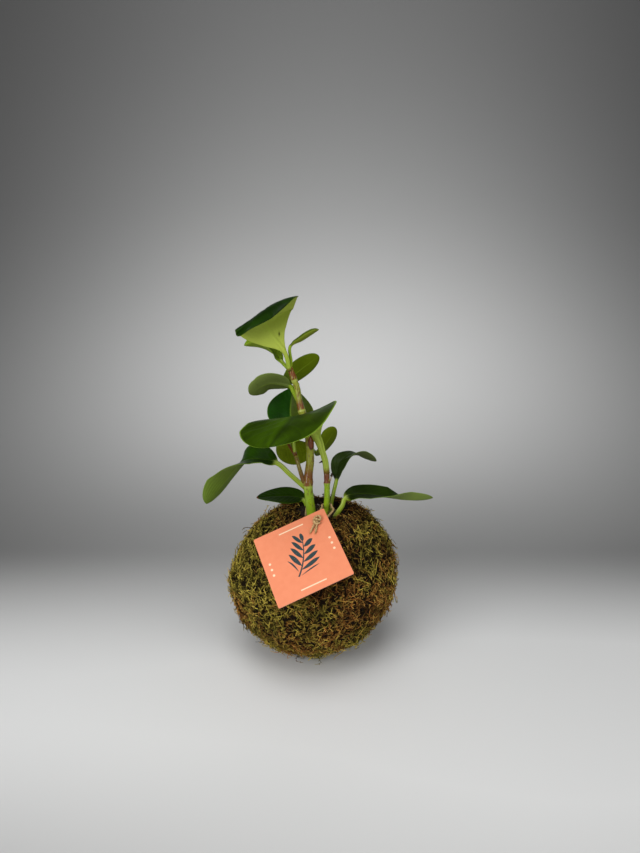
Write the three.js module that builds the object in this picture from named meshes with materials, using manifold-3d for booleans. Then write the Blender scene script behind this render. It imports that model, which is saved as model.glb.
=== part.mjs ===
// Kokedama: a ball of soil wrapped in moss that a glossy, round-leaved house plant grows from,
// with a card tag tied to one stem by a length of jute twine.
//
// Millimetres, Z up. The origin is the centre of the flat spot that the ball rests on, X runs to
// the right of the side with the tag, and Y runs away from that side.

import * as THREE from 'three';
import { mergeVertices } from 'three/addons/utils/BufferGeometryUtils.js';
import Module from 'manifold-3d';

const manifold = await Module();
manifold.setup();

// ---------------------------------------------------------------- driving dimensions

// Pieces that touch on the real plant stand this far apart here.
const SEAT_GAP = 0.3;

// The moss wrap, a slightly squat ball, and the soil ball that it is wrapped round.
const MOSS_RADIUS = 60;
const MOSS_HALF_HEIGHT = 56.3;
const MOSS_THICKNESS = 8.5;
const BALL_CENTRE_Z = 55.5;
const MOSS_DETAIL = 11;
const SOIL_DETAIL = 6;
const LUMP_HEIGHT = 0.8;
const TUFT_HEIGHT = 1.5;
const SOIL_LUMP_HEIGHT = 0.35;
// The wrap is thinner under and over the soil than round it, by this share.
const WRAP_SHARE_ABOVE = 0.75;

// The open place in the moss round the stems, where the soil shows.
const MOUTH_CENTRE = [5, -6];
const MOUTH_RADIUS = 19;
const MOUTH_FLOOR_Z = 93;
const MOUTH_DEPTH = 60;

// Card tag: a square that leans on the upper front of the ball, with a punched hole near one corner.
const TAG_SIDE = 50;
const TAG_THICKNESS = 0.7;
const TAG_CORNER_RADIUS = 0.8;
const TAG_CENTRE = new THREE.Vector3(-5.4, -52.2, 90.3);
const TAG_ACROSS = new THREE.Vector3(0.911, 0.15, 0.383);
const TAG_UP = new THREE.Vector3(-0.368, 0.714, 0.596);
const TAG_HOLE = [18, 18.7];
const TAG_HOLE_RADIUS = 2.2;

// Jute twine: once round the second stem, through the hole, and knotted on the front of the tag.
const TWINE_RADIUS = 0.6;
const STRAND_SPACING = 0.85;

// Blades are this thick in the middle and keep most of it to just inside the margin.
const BLADE_THICKNESS = 1.3;

// Points down each stem, from inside the soil to the tip, its radius at the soil and at the tip, and
// its swollen nodes as [share of the length, extra radius].
const STEMS = {
  stem_main: {
    route: [
      [0.6, -12, 91], [-0.1, -12, 103.5], [-2.4, -12, 126.2], [-1, -11, 141.4], [-1.3, -10, 155.1],
      [-4.4, -8, 167.2], [-6.4, -7, 175.2], [-8.4, -6, 183.3], [-9.7, -5, 191.3], [-12.1, -5, 198.1],
      [-14.7, -5, 205.5],
    ],
    radii: [3.5, 1.8],
    nodes: [[0.31, 0.55], [0.55, 0.3], [0.73, 0.35], [0.93, 0.3]],
    rings: 30,
    clearOf: [],
  },
  stem_second: {
    route: [[9.6, -10, 91], [10, -10, 104.2], [10.6, -10, 116.4], [10.6, -10, 127.1], [10.3, -9, 134]],
    radii: [2.1, 1.9],
    nodes: [[0.82, 0.3]],
    rings: 14,
    clearOf: [],
  },
  side_shoot: {
    route: [
      [-3.6, -12.5, 125.5], [-5.4, -13, 128.6], [-7.8, -13, 136.3], [-9.8, -11, 142.8], [-11.7, -8, 147.6],
    ],
    radii: [1.6, 1.2],
    nodes: [[0.97, 0.25]],
    rings: 10,
    clearOf: ['stem_main'],
  },
};
const STEM_SIDES = 12;
// A node swells over this share of the stem's length, and a tip is this many radii long.
const NODE_LENGTH = 0.03;
const TIP_LENGTH = 0.6;

// Each leaf grows along a route: first its stalk, then, from route point `blade` on, the midrib.
//   halfWidth  widest half-width of the blade
//   outline    [p, q]: the width follows u^p (1 - u)^q along the blade, so a small q is a blunt tip
//   facing     the way the upper face looks, from the base of the blade to its tip
//   cup, fold  degrees that each half curls and is raised, from the base of the blade to its tip
//   sway       degrees that the one half curls more and the other less, where they differ
//   stalk      radius of the stalk
//   clearOf    what the leaf grows from or passes, and is trimmed clear of
const LEAVES = {
  leaf_top: {
    route: [
      [-14.9, -6.4, 204.4], [-16.2, -8, 211.7], [-18.8, -9, 217.5], [-25.8, -7, 226.5],
      [-31.5, -4.5, 236], [-31, -10, 242.2], [-28.2, -20, 242.8], [-24, -28.5, 238],
    ],
    blade: 1, halfWidth: 25, outline: [1.4, 0.35], stalk: 1.5,
    facing: [
      [-0.3, 0.9, 0.1], [-0.35, 0.85, 0.3], [-0.5, 0.6, 0.6], [-0.55, -0.1, 0.82], [-0.4, -0.7, 0.6],
    ],
    cup: [20, 10, -10, -25, -20], fold: [0],
    clearOf: ['stem_main'],
  },
  leaf_young_left: {
    route: [
      [-15.2, -4.2, 204], [-20.7, 0, 209.2], [-24.8, 2, 213.8], [-33.7, 3, 218.1], [-45.6, 0, 219.6],
    ],
    blade: 1, halfWidth: 8, outline: [0.8, 0.6], stalk: 1.2,
    facing: [[0.3, -0.3, 1]],
    cup: [40], fold: [30],
    clearOf: ['stem_main', 'leaf_top'],
  },
  leaf_young_right: {
    route: [
      [-13.9, -5.2, 204.5], [-13.6, -5.4, 209.5], [-14, -6, 219.3], [-5.6, -4, 223.6], [5.1, -2, 230.3],
    ],
    blade: 2, halfWidth: 4.5, outline: [0.9, 0.6], stalk: 0.9,
    facing: [[-0.5, -0.1, 1], [-0.3, -0.3, 1]],
    cup: [30], fold: [30],
    clearOf: ['stem_main', 'leaf_top', 'leaf_young_left'],
  },
  leaf_round_right: {
    route: [
      [-9.9, -2.9, 193.2], [-13, 1.4, 190.8], [-19.4, 5.5, 192.8], [-15, 9, 197], [-8.1, 11, 202.4],
      [-1.3, 11, 207.5], [4.9, 11, 212.2],
    ],
    blade: 2, halfWidth: 7.6, outline: [0.6, 0.5], stalk: 1.3,
    facing: [[-0.3, 0.9, 0.3]],
    cup: [20], fold: [0],
    clearOf: ['stem_main'],
  },
  leaf_round_left: {
    route: [
      [-8.3, -5.6, 181], [-12.2, -4, 188.6], [-15, -3, 192.6], [-27.3, -7.5, 195], [-36, -10.5, 191.8],
      [-41.4, -12, 188.6],
    ],
    blade: 2, halfWidth: 9, outline: [0.5, 0.5], stalk: 1.4,
    facing: [[0.1, 0.8, 0.7]],
    cup: [15], fold: [0],
    clearOf: ['stem_main'],
  },
  leaf_back: {
    route: [
      [-11.4, -8.4, 146.6], [-12.3, -7, 154.5], [-12.9, 0, 160.1], [-15, 9, 172.8], [-13.5, 14, 190.3],
    ],
    blade: 2, halfWidth: 16.5, outline: [0.9, 1.05], stalk: 1.2,
    facing: [[0, -1, 0.3]],
    cup: [20], fold: [0],
    clearOf: ['side_shoot'],
  },
  leaf_front: {
    route: [
      [10.3, -9.1, 134.3], [9.3, -10.5, 142], [7.1, -11, 149.5], [4.3, -12, 157.3], [-1, -14, 165.4],
      [-9.5, -24, 175], [-16, -40, 171.5], [-25, -55, 160.8],
    ],
    blade: 3, halfWidth: 36.5, outline: [1.2, 0.55], stalk: 2.1,
    facing: [[0.3, 0.9, 0.3], [0, 0.6, 0.8], [-0.27, -0.1, 1], [-0.48, -0.4, 0.9], [-0.7, -0.7, 0.6]],
    cup: [25, 15, 9, 0], fold: [0], sway: [0, -3, -6, -6],
    clearOf: ['stem_second', 'stem_main'],
  },
  leaf_small_right: {
    route: [[-0.6, -10.4, 152], [2.4, -2, 146.4], [5.9, 7, 146], [11.4, 13, 152], [17, 16, 160.4]],
    blade: 1, halfWidth: 7.5, outline: [1, 0.5], stalk: 1.2,
    facing: [[-0.5, 0.8, 0.3]],
    cup: [20], fold: [0],
    clearOf: ['stem_main'],
  },
  leaf_behind_left: {
    route: [
      [-11.5, -8.2, 146.4], [-15.2, -4, 151.5], [-17, 3, 153.5], [-15.5, 12, 150.2], [-13.4, 19, 141.9],
      [-12.5, 22, 131.5],
    ],
    blade: 2, halfWidth: 13, outline: [0.9, 0.5], stalk: 1.1,
    facing: [[0, 0.1, 1], [0, 0.9, 0.3]],
    cup: [10], fold: [0],
    clearOf: ['side_shoot', 'leaf_back'],
  },
  leaf_drooping_left: {
    route: [
      [-3.2, -12, 122.5], [-14.5, -14, 133.5], [-23.5, -11, 140.6], [-37.4, -7, 142.6], [-49, -5, 139.5],
      [-60.3, -3, 126.3], [-73.8, -4, 109.6],
    ],
    blade: 2, halfWidth: 17, outline: [0.65, 0.6], stalk: 1.6,
    facing: [[0, -0.5, 1], [0, -0.4, 1], [-0.2, 0.2, 1], [-0.8, 0.5, 0.4], [-0.8, 0.6, 0.4]],
    cup: [30, 20, 10, 20, 20], fold: [15, 10, 0, 5, 5],
    clearOf: ['stem_main', 'side_shoot'],
  },
  leaf_low_left: {
    route: [
      [-3, 2, 92], [-3.6, 3.5, 103.5], [-6, 6, 109.4], [-13.6, 7.5, 111.8], [-26.4, 5, 112.4],
      [-39.2, 1, 112.6],
    ],
    blade: 2, halfWidth: 10, outline: [0.5, 0.7], stalk: 1.4,
    facing: [[0, -0.4, 1], [0, -0.25, 1]],
    cup: [10], fold: [0],
    clearOf: [],
  },
  leaf_low_right: {
    route: [
      [12, -16.5, 92], [15.8, -18, 104.5], [20.6, -18.6, 112.4], [22.8, -18, 117.6], [29.4, -16.5, 120.4],
      [41, -14, 119.6], [54.4, -12, 116.8], [68, -10, 114.6], [84.1, -8, 115.3],
    ],
    blade: 3, halfWidth: 9.4, outline: [0.4, 0.65], stalk: 1.5,
    facing: [[-0.1, -0.4, 1], [0, -0.35, 1], [0, -0.1, 1], [0, 0.7, 0.8], [0, 1, 0.7]],
    cup: [15], fold: [5, 5, 20, 20, 10],
    clearOf: [],
  },
  leaf_mid_right: {
    route: [
      [12.8, -5, 93], [13.6, -5, 108.7], [15.4, -4.5, 118.5], [17.2, -3.5, 126.5], [18.3, -1, 134.6],
      [21.6, 1.5, 140], [31.5, 3.5, 143.4], [45.6, 4, 138.4],
    ],
    blade: 3, halfWidth: 8, outline: [0.8, 0.6], stalk: 1.3,
    facing: [[-0.4, -0.9, 0.2], [-0.4, -0.8, 0.5], [-0.3, -0.1, 1], [0.1, 0.5, 0.9], [0.3, 0.6, 0.8]],
    cup: [15], fold: [5],
    clearOf: [],
  },
};
const STALK_STATIONS = 5;
const BLADE_STATIONS = 13;
// How much closer the stations stand near both ends of the blade.
const BUNCHING = 0.11;
// The blade curls fully from 1 / UNFURLING of its length on, and the stalk has merged into its upper
// face by GROOVE_FROM. A curl is never quite 0, because its arc would have no radius.
const UNFURLING = 8;
const GROOVE_FROM = 0.12;
const STRAIGHTEST = 1e-4;
// The stalk goes on as a keel under the midrib, which tapers by this power.
const KEEL_TAPER = 1.3;
// Points on a face across its section, as shares of the half-width.
const ACROSS = [0.9, 0.48, 0, -0.48, -0.9];

// Steps that a curve's length is measured in.
const CURVE_STEPS = 400;

const COLOURS = {
  soil: { color: 0x2b1d12, roughness: 1 },
  moss: { color: 0x5f5722, roughness: 1 },
  stem: { color: 0x87a31f, roughness: 0.45 },
  leaf: { color: 0x284d0b, roughness: 0.35 },
  tag: { color: 0xf08f6c, roughness: 0.8 },
  twine: { color: 0xbd9660, roughness: 0.9 },
};

// ---------------------------------------------------------------- small helpers

const vector = ([x, y, z]) => new THREE.Vector3(x, y, z);
const radians = THREE.MathUtils.degToRad;

// A smooth curve through points, the same for stems, leaves and twine.
function curveThrough(points) {
  const curve = new THREE.CatmullRomCurve3(points.map(vector), false, 'catmullrom', 0.5);
  curve.arcLengthDivisions = CURVE_STEPS;
  return curve;
}

// The value at share u of a list of evenly spaced values.
function along(values, u) {
  const place = Math.min(Math.max(u, 0), 1) * (values.length - 1);
  const index = Math.min(Math.floor(place), Math.max(values.length - 2, 0));
  const next = values[Math.min(index + 1, values.length - 1)];
  return THREE.MathUtils.lerp(values[index], next, place - index);
}

function directionAlong(directions, u) {
  const axis = (n) => along(directions.map((direction) => direction[n]), u);
  return new THREE.Vector3(axis(0), axis(1), axis(2));
}

// Triangles as a solid that can be joined and cut.
function solidFrom(vertices, triangles) {
  const mesh = new manifold.Mesh({
    numProp: 3,
    vertProperties: Float32Array.from(vertices),
    triVerts: Uint32Array.from(triangles),
  });
  return new manifold.Manifold(mesh);
}

function solidOf(geometry) {
  const bare = new THREE.BufferGeometry();
  bare.setAttribute('position', geometry.getAttribute('position'));
  if (geometry.index) {
    bare.setIndex(geometry.index);
  }
  const merged = mergeVertices(bare, 1e-4);
  return solidFrom(merged.getAttribute('position').array, merged.index.array);
}

function geometryOf(solid) {
  const { vertProperties, triVerts } = solid.getMesh();
  const geometry = new THREE.BufferGeometry();
  geometry.setAttribute('position', new THREE.BufferAttribute(Float32Array.from(vertProperties), 3));
  geometry.setIndex(new THREE.BufferAttribute(Uint32Array.from(triVerts), 1));
  geometry.computeVertexNormals();
  return geometry;
}

// Rings of equal length joined into a closed skin. The last ring may close on a tip point.
// Upper and lower faces are split along matching diagonals, so that a thin blade stays even.
function skinRings(rings, tip) {
  const count = rings[0].length;
  const vertices = rings.flat().flatMap((point) => point.toArray());
  const triangles = [];
  for (let i = 0; i < rings.length - 1; i += 1) {
    for (let k = 0; k < count; k += 1) {
      const a = i * count + k;
      const b = i * count + ((k + 1) % count);
      const c = b + count;
      const d = a + count;
      if (k < count / 2) {
        triangles.push(a, b, c, a, c, d);
      } else {
        triangles.push(a, b, d, b, c, d);
      }
    }
  }
  for (let k = 1; k < count - 1; k += 1) {
    triangles.push(0, k + 1, k);
  }
  const last = (rings.length - 1) * count;
  const tipIndex = rings.length * count;
  vertices.push(...tip.toArray());
  for (let k = 0; k < count; k += 1) {
    triangles.push(last + k, last + ((k + 1) % count), tipIndex);
  }
  return solidFrom(vertices, triangles);
}

// ---------------------------------------------------------------- stems

// A round stem with swollen nodes and a rounded tip, `grow` mm thicker all round.
function makeStem(stem, grow = 0) {
  const curve = curveThrough(stem.route);
  const rings = [];
  for (let i = 0; i <= stem.rings; i += 1) {
    const share = i / stem.rings;
    const ahead = curve.getTangentAt(share);
    const centre = curve.getPointAt(share).addScaledVector(ahead, i === 0 ? -grow : 0);
    const side = new THREE.Vector3(0, 1, 0).cross(ahead).normalize();
    const front = new THREE.Vector3().crossVectors(ahead, side);
    const bell = ([place, extra]) => extra * Math.exp(-(((share - place) / NODE_LENGTH) ** 2));
    const swell = stem.nodes.reduce((sum, node) => sum + bell(node), 0);
    const radius = THREE.MathUtils.lerp(stem.radii[0], stem.radii[1], share) + swell + grow;
    const ring = [];
    for (let k = 0; k < STEM_SIDES; k += 1) {
      const angle = (2 * Math.PI * k) / STEM_SIDES;
      ring.push(
        centre.clone()
          .addScaledVector(side, radius * Math.cos(angle))
          .addScaledVector(front, radius * Math.sin(angle)),
      );
    }
    rings.push(ring);
  }
  const tip = curve.getPointAt(1).addScaledVector(curve.getTangentAt(1), stem.radii[1] * TIP_LENGTH + grow);
  return skinRings(rings, tip);
}

// ---------------------------------------------------------------- leaves

// Half-width of the section: the stalk's radius, merging into the outline of the blade.
function halfWidthAt(leaf, u) {
  const [p, q] = leaf.outline;
  const widest = (p / (p + q)) ** p * (q / (p + q)) ** q;
  const blade = (leaf.halfWidth * u ** p * (1 - u) ** q) / widest;
  return Math.hypot(leaf.stalk * (1 - u), blade);
}

// One section of a leaf, as a ring that runs over the upper face and back under the lower one.
function leafSection(leaf, centre, ahead, u, grow) {
  const facing = directionAlong(leaf.facing, u);
  const up = facing.addScaledVector(ahead, -facing.dot(ahead)).normalize();
  const side = new THREE.Vector3().crossVectors(ahead, up);
  const halfWidth = halfWidthAt(leaf, u);
  const unfurled = Math.min(1, u * UNFURLING);
  const raised = radians(along(leaf.fold, u)) * unfurled;
  const keel = leaf.stalk * (1 - u) ** KEEL_TAPER;
  const stalkAbove = leaf.stalk * (1 - THREE.MathUtils.smoothstep(u, 0, GROOVE_FROM));
  const point = (share, face) => {
    const across = Math.abs(share);
    const reach = halfWidth * across;
    const bend = along(leaf.cup, u) + along(leaf.sway ?? [0], u) * Math.sign(share);
    const curl = radians(bend) * unfurled + STRAIGHTEST;
    const out = (halfWidth * (Math.sin(raised + curl * across) - Math.sin(raised))) / curl;
    const rise = (halfWidth * (Math.cos(raised) - Math.cos(raised + curl * across))) / curl;
    const rib = face > 0 ? stalkAbove : keel;
    const round = rib * Math.sqrt(Math.max(0, 1 - (reach / leaf.stalk) ** 2));
    const blade = (BLADE_THICKNESS / 2) * Math.sqrt(Math.max(0, 1 - across ** 6));
    const thick = face * (Math.hypot(round, blade) + (face === 0 ? 0 : grow));
    const lean = raised + curl * across;
    const outward = out + grow * (across === 1 ? 1 : 0);
    return centre.clone()
      .addScaledVector(side, Math.sign(share) * (outward - thick * Math.sin(lean)))
      .addScaledVector(up, rise + thick * Math.cos(lean));
  };
  const lower = ACROSS.map((share) => point(share, -1));
  const upper = [...ACROSS].reverse().map((share) => point(share, 1));
  return [point(-1, 0), ...upper, point(1, 0), ...lower];
}

// Stalk and blade in one, `grow` mm thicker all round.
function makeLeaf(leaf, grow = 0) {
  const curve = curveThrough(leaf.route);
  const total = curve.getLength();
  const lengths = curve.getLengths();
  const bladeAt = lengths[Math.round((leaf.blade / (leaf.route.length - 1)) * CURVE_STEPS)] / total;
  const rings = [];
  for (let i = 0; i < STALK_STATIONS; i += 1) {
    const share = (bladeAt * i) / STALK_STATIONS;
    const ahead = curve.getTangentAt(share);
    const centre = curve.getPointAt(share).addScaledVector(ahead, i === 0 ? -grow : 0);
    rings.push(leafSection(leaf, centre, ahead, 0, grow));
  }
  for (let i = 0; i < BLADE_STATIONS; i += 1) {
    const even = i / BLADE_STATIONS;
    const u = even - BUNCHING * Math.sin(2 * Math.PI * even);
    const share = bladeAt + (1 - bladeAt) * u;
    rings.push(leafSection(leaf, curve.getPointAt(share), curve.getTangentAt(share), u, grow));
  }
  return skinRings(rings, curve.getPointAt(1).addScaledVector(curve.getTangentAt(1), grow));
}

// ---------------------------------------------------------------- soil and moss

// Broad lumps and small tufts of the moss, in mm, along a unit direction.
function mossRelief(x, y, z) {
  const broad = Math.sin(5.1 * x + 2.3 * z + 0.7) * Math.sin(4.3 * y - 3.1 * z + 1.9);
  const lumps = broad + 0.6 * Math.sin(7.7 * z + 3.9 * x - 1.2);
  const tufts =
    Math.sin(31 * x + 17 * y + 5) * Math.sin(29 * y - 23 * z + 2) * Math.sin(27 * z + 19 * x + 1);
  return LUMP_HEIGHT * lumps + TUFT_HEIGHT * tufts;
}

// The soil is crumbly, with shallow lumps.
function soilRelief(x, y, z) {
  return SOIL_LUMP_HEIGHT * Math.sin(13 * x + 5 * z) * Math.sin(12 * y - 7 * z + 1);
}

// A squat ball with relief on it.
function reliefBall(radius, halfHeight, detail, relief) {
  const ball = new THREE.IcosahedronGeometry(1, detail).deleteAttribute('normal').deleteAttribute('uv');
  const geometry = mergeVertices(ball, 1e-5);
  const places = geometry.getAttribute('position');
  for (let i = 0; i < places.count; i += 1) {
    const direction = new THREE.Vector3().fromBufferAttribute(places, i).normalize();
    const extra = relief(direction.x, direction.y, direction.z);
    places.setXYZ(
      i,
      direction.x * (radius + extra),
      direction.y * (radius + extra),
      direction.z * (halfHeight + extra) + BALL_CENTRE_Z,
    );
  }
  return solidOf(geometry);
}

function soilBody(grow) {
  const radius = MOSS_RADIUS - MOSS_THICKNESS + grow;
  const halfHeight = MOSS_HALF_HEIGHT - MOSS_THICKNESS * WRAP_SHARE_ABOVE + grow;
  return reliefBall(radius, halfHeight, SOIL_DETAIL, soilRelief);
}

// The soil ball, with a plain hole for each stem and stalk that stands in it.
function makeSoil(rooted) {
  return rooted.reduce((soil, stem) => soil.subtract(stem), soilBody(0));
}

// The moss wrap: hollow for the soil, open round the stems and flat where it rests.
function makeMoss(passing) {
  const outside = reliefBall(MOSS_RADIUS, MOSS_HALF_HEIGHT, MOSS_DETAIL, mossRelief);
  const mouth = new THREE.CylinderGeometry(MOUTH_RADIUS + 4, MOUTH_RADIUS - 1.5, MOUTH_DEPTH, 28);
  mouth.rotateX(Math.PI / 2);
  mouth.translate(MOUTH_CENTRE[0], MOUTH_CENTRE[1], MOUTH_FLOOR_Z + MOUTH_DEPTH / 2);
  const ground = new THREE.BoxGeometry(3 * MOSS_RADIUS, 3 * MOSS_RADIUS, MOSS_RADIUS);
  ground.translate(0, 0, -MOSS_RADIUS / 2);
  const wrap = outside.subtract(soilBody(SEAT_GAP)).subtract(solidOf(mouth)).subtract(solidOf(ground));
  return passing.reduce((moss, stem) => moss.subtract(stem), wrap);
}

// ---------------------------------------------------------------- tag and twine

const tagNormal = new THREE.Vector3().crossVectors(TAG_ACROSS, TAG_UP).normalize();
const tagAcross = TAG_ACROSS.clone().normalize();
const tagUp = new THREE.Vector3().crossVectors(tagNormal, TAG_ACROSS).normalize();

// The place that is x across, y up and z in front of the middle of the tag.
function onTag(x, y, z) {
  return TAG_CENTRE.clone()
    .addScaledVector(tagAcross, x)
    .addScaledVector(tagUp, y)
    .addScaledVector(tagNormal, z);
}

function makeTag() {
  const half = TAG_SIDE / 2;
  const inner = half - TAG_CORNER_RADIUS;
  const card = new THREE.Shape();
  card.absarc(inner, inner, TAG_CORNER_RADIUS, 0, Math.PI / 2);
  card.absarc(-inner, inner, TAG_CORNER_RADIUS, Math.PI / 2, Math.PI);
  card.absarc(-inner, -inner, TAG_CORNER_RADIUS, Math.PI, 1.5 * Math.PI);
  card.absarc(inner, -inner, TAG_CORNER_RADIUS, 1.5 * Math.PI, 2 * Math.PI);
  const hole = new THREE.Path();
  hole.absarc(TAG_HOLE[0], TAG_HOLE[1], TAG_HOLE_RADIUS, 0, 2 * Math.PI, true);
  card.holes.push(hole);
  const settings = { depth: TAG_THICKNESS, bevelEnabled: false, curveSegments: 5 };
  const geometry = new THREE.ExtrudeGeometry(card, settings);
  geometry.translate(0, 0, -TAG_THICKNESS / 2);
  const placed = new THREE.Matrix4().makeBasis(tagAcross, tagUp, tagNormal).setPosition(TAG_CENTRE);
  return solidOf(geometry.applyMatrix4(placed));
}

// A length of twine along a list of points.
function strand(points, steps) {
  const outline = new THREE.Shape().absarc(0, 0, TWINE_RADIUS, 0, 2 * Math.PI);
  const extrudePath = new THREE.CatmullRomCurve3(points, false, 'catmullrom', 0.5);
  return solidOf(new THREE.ExtrudeGeometry(outline, { steps, extrudePath, curveSegments: 3 }));
}

function makeTwine() {
  const [x, y] = TAG_HOLE;
  const front = TAG_THICKNESS / 2 + SEAT_GAP + TWINE_RADIUS;
  const loop = strand([
    onTag(x + STRAND_SPACING, y, front + 0.6),
    onTag(x + STRAND_SPACING, y, -1.4),
    onTag(x + 5, y + 0.2, -2.2),
    new THREE.Vector3(14.6, -20.5, 110.2),
    new THREE.Vector3(13.9, -13, 110.4),
    new THREE.Vector3(13.3, -8.2, 110.8),
    new THREE.Vector3(10.3, -6.7, 110.8),
    new THREE.Vector3(7.2, -9, 110.4),
    new THREE.Vector3(7.3, -14, 110.6),
    new THREE.Vector3(6.4, -24, 112.2),
    onTag(x - STRAND_SPACING, y + 2.5, -2.4),
    onTag(x - STRAND_SPACING, y, -1.4),
    onTag(x - STRAND_SPACING, y, front + 0.6),
  ], 34);
  const knot = strand([
    onTag(x - 2.2, y - 1.2, front + 0.5),
    onTag(x + 1.6, y + 1.4, front + 0.9),
    onTag(x + 1.2, y - 1.4, front + 1),
    onTag(x - 1.5, y + 1, front + 1),
    onTag(x - 1.4, y - 2.2, front + 0.6),
    onTag(x + 0.6, y - 2.6, front + 0.3),
  ], 12);
  const leftTail = strand([
    onTag(x - 0.6, y, front + 0.6),
    onTag(x - 3.2, y - 2.6, front + 0.2),
    onTag(x - 7.1, y - 6.3, front),
  ], 6);
  const rightTail = strand([
    onTag(x, y - 0.6, front + 0.6),
    onTag(x - 1.6, y - 3.6, front + 0.2),
    onTag(x - 4.1, y - 7.8, front),
  ], 6);
  return loop.add(knot).add(leftTail).add(rightTail);
}

// ---------------------------------------------------------------- the whole plant

const group = new THREE.Group();
group.name = 'kokedama';

function addMesh(name, solid, look) {
  const material = new THREE.MeshStandardMaterial({ ...look, metalness: 0 });
  const mesh = new THREE.Mesh(geometryOf(solid), material);
  mesh.name = name;
  group.add(mesh);
}

const bodies = { ...STEMS, ...LEAVES };
const isStem = (name) => name in STEMS;

// A stem or leaf, `grow` mm thicker all round.
function makeBody(name, grow = 0) {
  return isStem(name) ? makeStem(STEMS[name], grow) : makeLeaf(LEAVES[name], grow);
}

const rooted = ['stem_main', 'stem_second', 'leaf_low_left', 'leaf_low_right', 'leaf_mid_right'];
const throughMoss = ['leaf_low_left', 'leaf_low_right', 'leaf_mid_right'];

addMesh('soil_ball', makeSoil(rooted.map((name) => makeBody(name, SEAT_GAP))), COLOURS.soil);
addMesh('moss_wrap', makeMoss(throughMoss.map((name) => makeBody(name, 2 * SEAT_GAP))), COLOURS.moss);
for (const [name, body] of Object.entries(bodies)) {
  const neighbours = body.clearOf.map((other) => makeBody(other, SEAT_GAP));
  const trimmed = neighbours.reduce((rest, neighbour) => rest.subtract(neighbour), makeBody(name));
  addMesh(name, trimmed, isStem(name) ? COLOURS.stem : COLOURS.leaf);
}
addMesh('tag', makeTag(), COLOURS.tag);
addMesh('twine', makeTwine(), COLOURS.twine);

export default group;
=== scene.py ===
# %% [markdown]
# # A moss ball plant, dressed in Blender
#
# The object is a ball of soil wrapped in moss. A glossy, round-leaved house plant grows out of
# its top, and a square card tag hangs from one stem on a bit of jute twine.
#
# The construction already exists as a fixed frame: one solid for each leaf, stem, ball and tag, at
# its real size. This lesson gives every one of them its looks. The frame never moves. Where a
# solid is too plain, a finer mesh stands in for it at the same place.

# %% Load the frame
import math

import bpy
import numpy as np
from mathutils import Matrix


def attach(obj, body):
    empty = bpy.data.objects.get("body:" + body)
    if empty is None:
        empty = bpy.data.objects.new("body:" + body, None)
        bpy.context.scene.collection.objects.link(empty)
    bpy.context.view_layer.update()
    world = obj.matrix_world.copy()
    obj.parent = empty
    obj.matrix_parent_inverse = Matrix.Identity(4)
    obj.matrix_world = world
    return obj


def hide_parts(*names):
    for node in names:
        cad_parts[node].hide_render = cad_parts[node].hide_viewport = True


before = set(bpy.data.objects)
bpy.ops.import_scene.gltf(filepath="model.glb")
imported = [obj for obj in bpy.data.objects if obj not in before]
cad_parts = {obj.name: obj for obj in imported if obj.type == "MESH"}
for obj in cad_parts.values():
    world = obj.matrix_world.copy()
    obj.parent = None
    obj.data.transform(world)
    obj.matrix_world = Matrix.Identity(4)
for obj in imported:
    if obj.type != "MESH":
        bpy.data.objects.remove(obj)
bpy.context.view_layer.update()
MM = 0.001

# %% [markdown]
# ## Camera, room and light
#
# The plant stands on a pale sweep: a floor that curves up into a wall, so that no line shows
# behind it. A sweep could be two planes, but their corner would show. Here it is one profile,
# flat, then a quarter of a circle, then upright, carried sideways. Its paint is graded with painted
# light and shade, pale behind the plant and darker towards the edges, and three soft lights shine on it.

# %% The camera
IMAGE_HEIGHT = 853
FOCAL_PIXELS = 610
CAMERA_PLACE = (0.0058, -0.4156, 0.2373)
CAMERA_TILT = 80

camera_data = bpy.data.cameras.new("camera")
camera_data.sensor_width = 36
camera_data.lens = camera_data.sensor_width * FOCAL_PIXELS / IMAGE_HEIGHT
camera = bpy.data.objects.new("camera", camera_data)
camera.location = CAMERA_PLACE
camera.rotation_euler = (math.radians(CAMERA_TILT), 0, 0)
bpy.context.collection.objects.link(camera)
bpy.context.scene.camera = camera
print("lens in mm:", round(camera_data.lens, 2))

# %% [markdown]
# ## From arrays to meshes
#
# Every new piece below is a grid of points worked out with numpy, because a formula on whole
# arrays is short, quick and exact. One function hands the arrays to Blender. It also works out
# the volume that the faces enclose: a negative one means that they point inwards, and then the
# order of their corners is turned round.

# %% Arrays into a mesh
def enclosed_volume(vertices, faces):
    """Sum over the triangles of a fan in each face of the triple product of their corners, by 6."""
    first = vertices[faces[:, 0]]
    total = 0.0
    for corner in range(1, faces.shape[1] - 1):
        second = vertices[faces[:, corner]]
        third = vertices[faces[:, corner + 1]]
        total += np.einsum("ij,ij->", first, np.cross(second, third)) / 6
    return total


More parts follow.
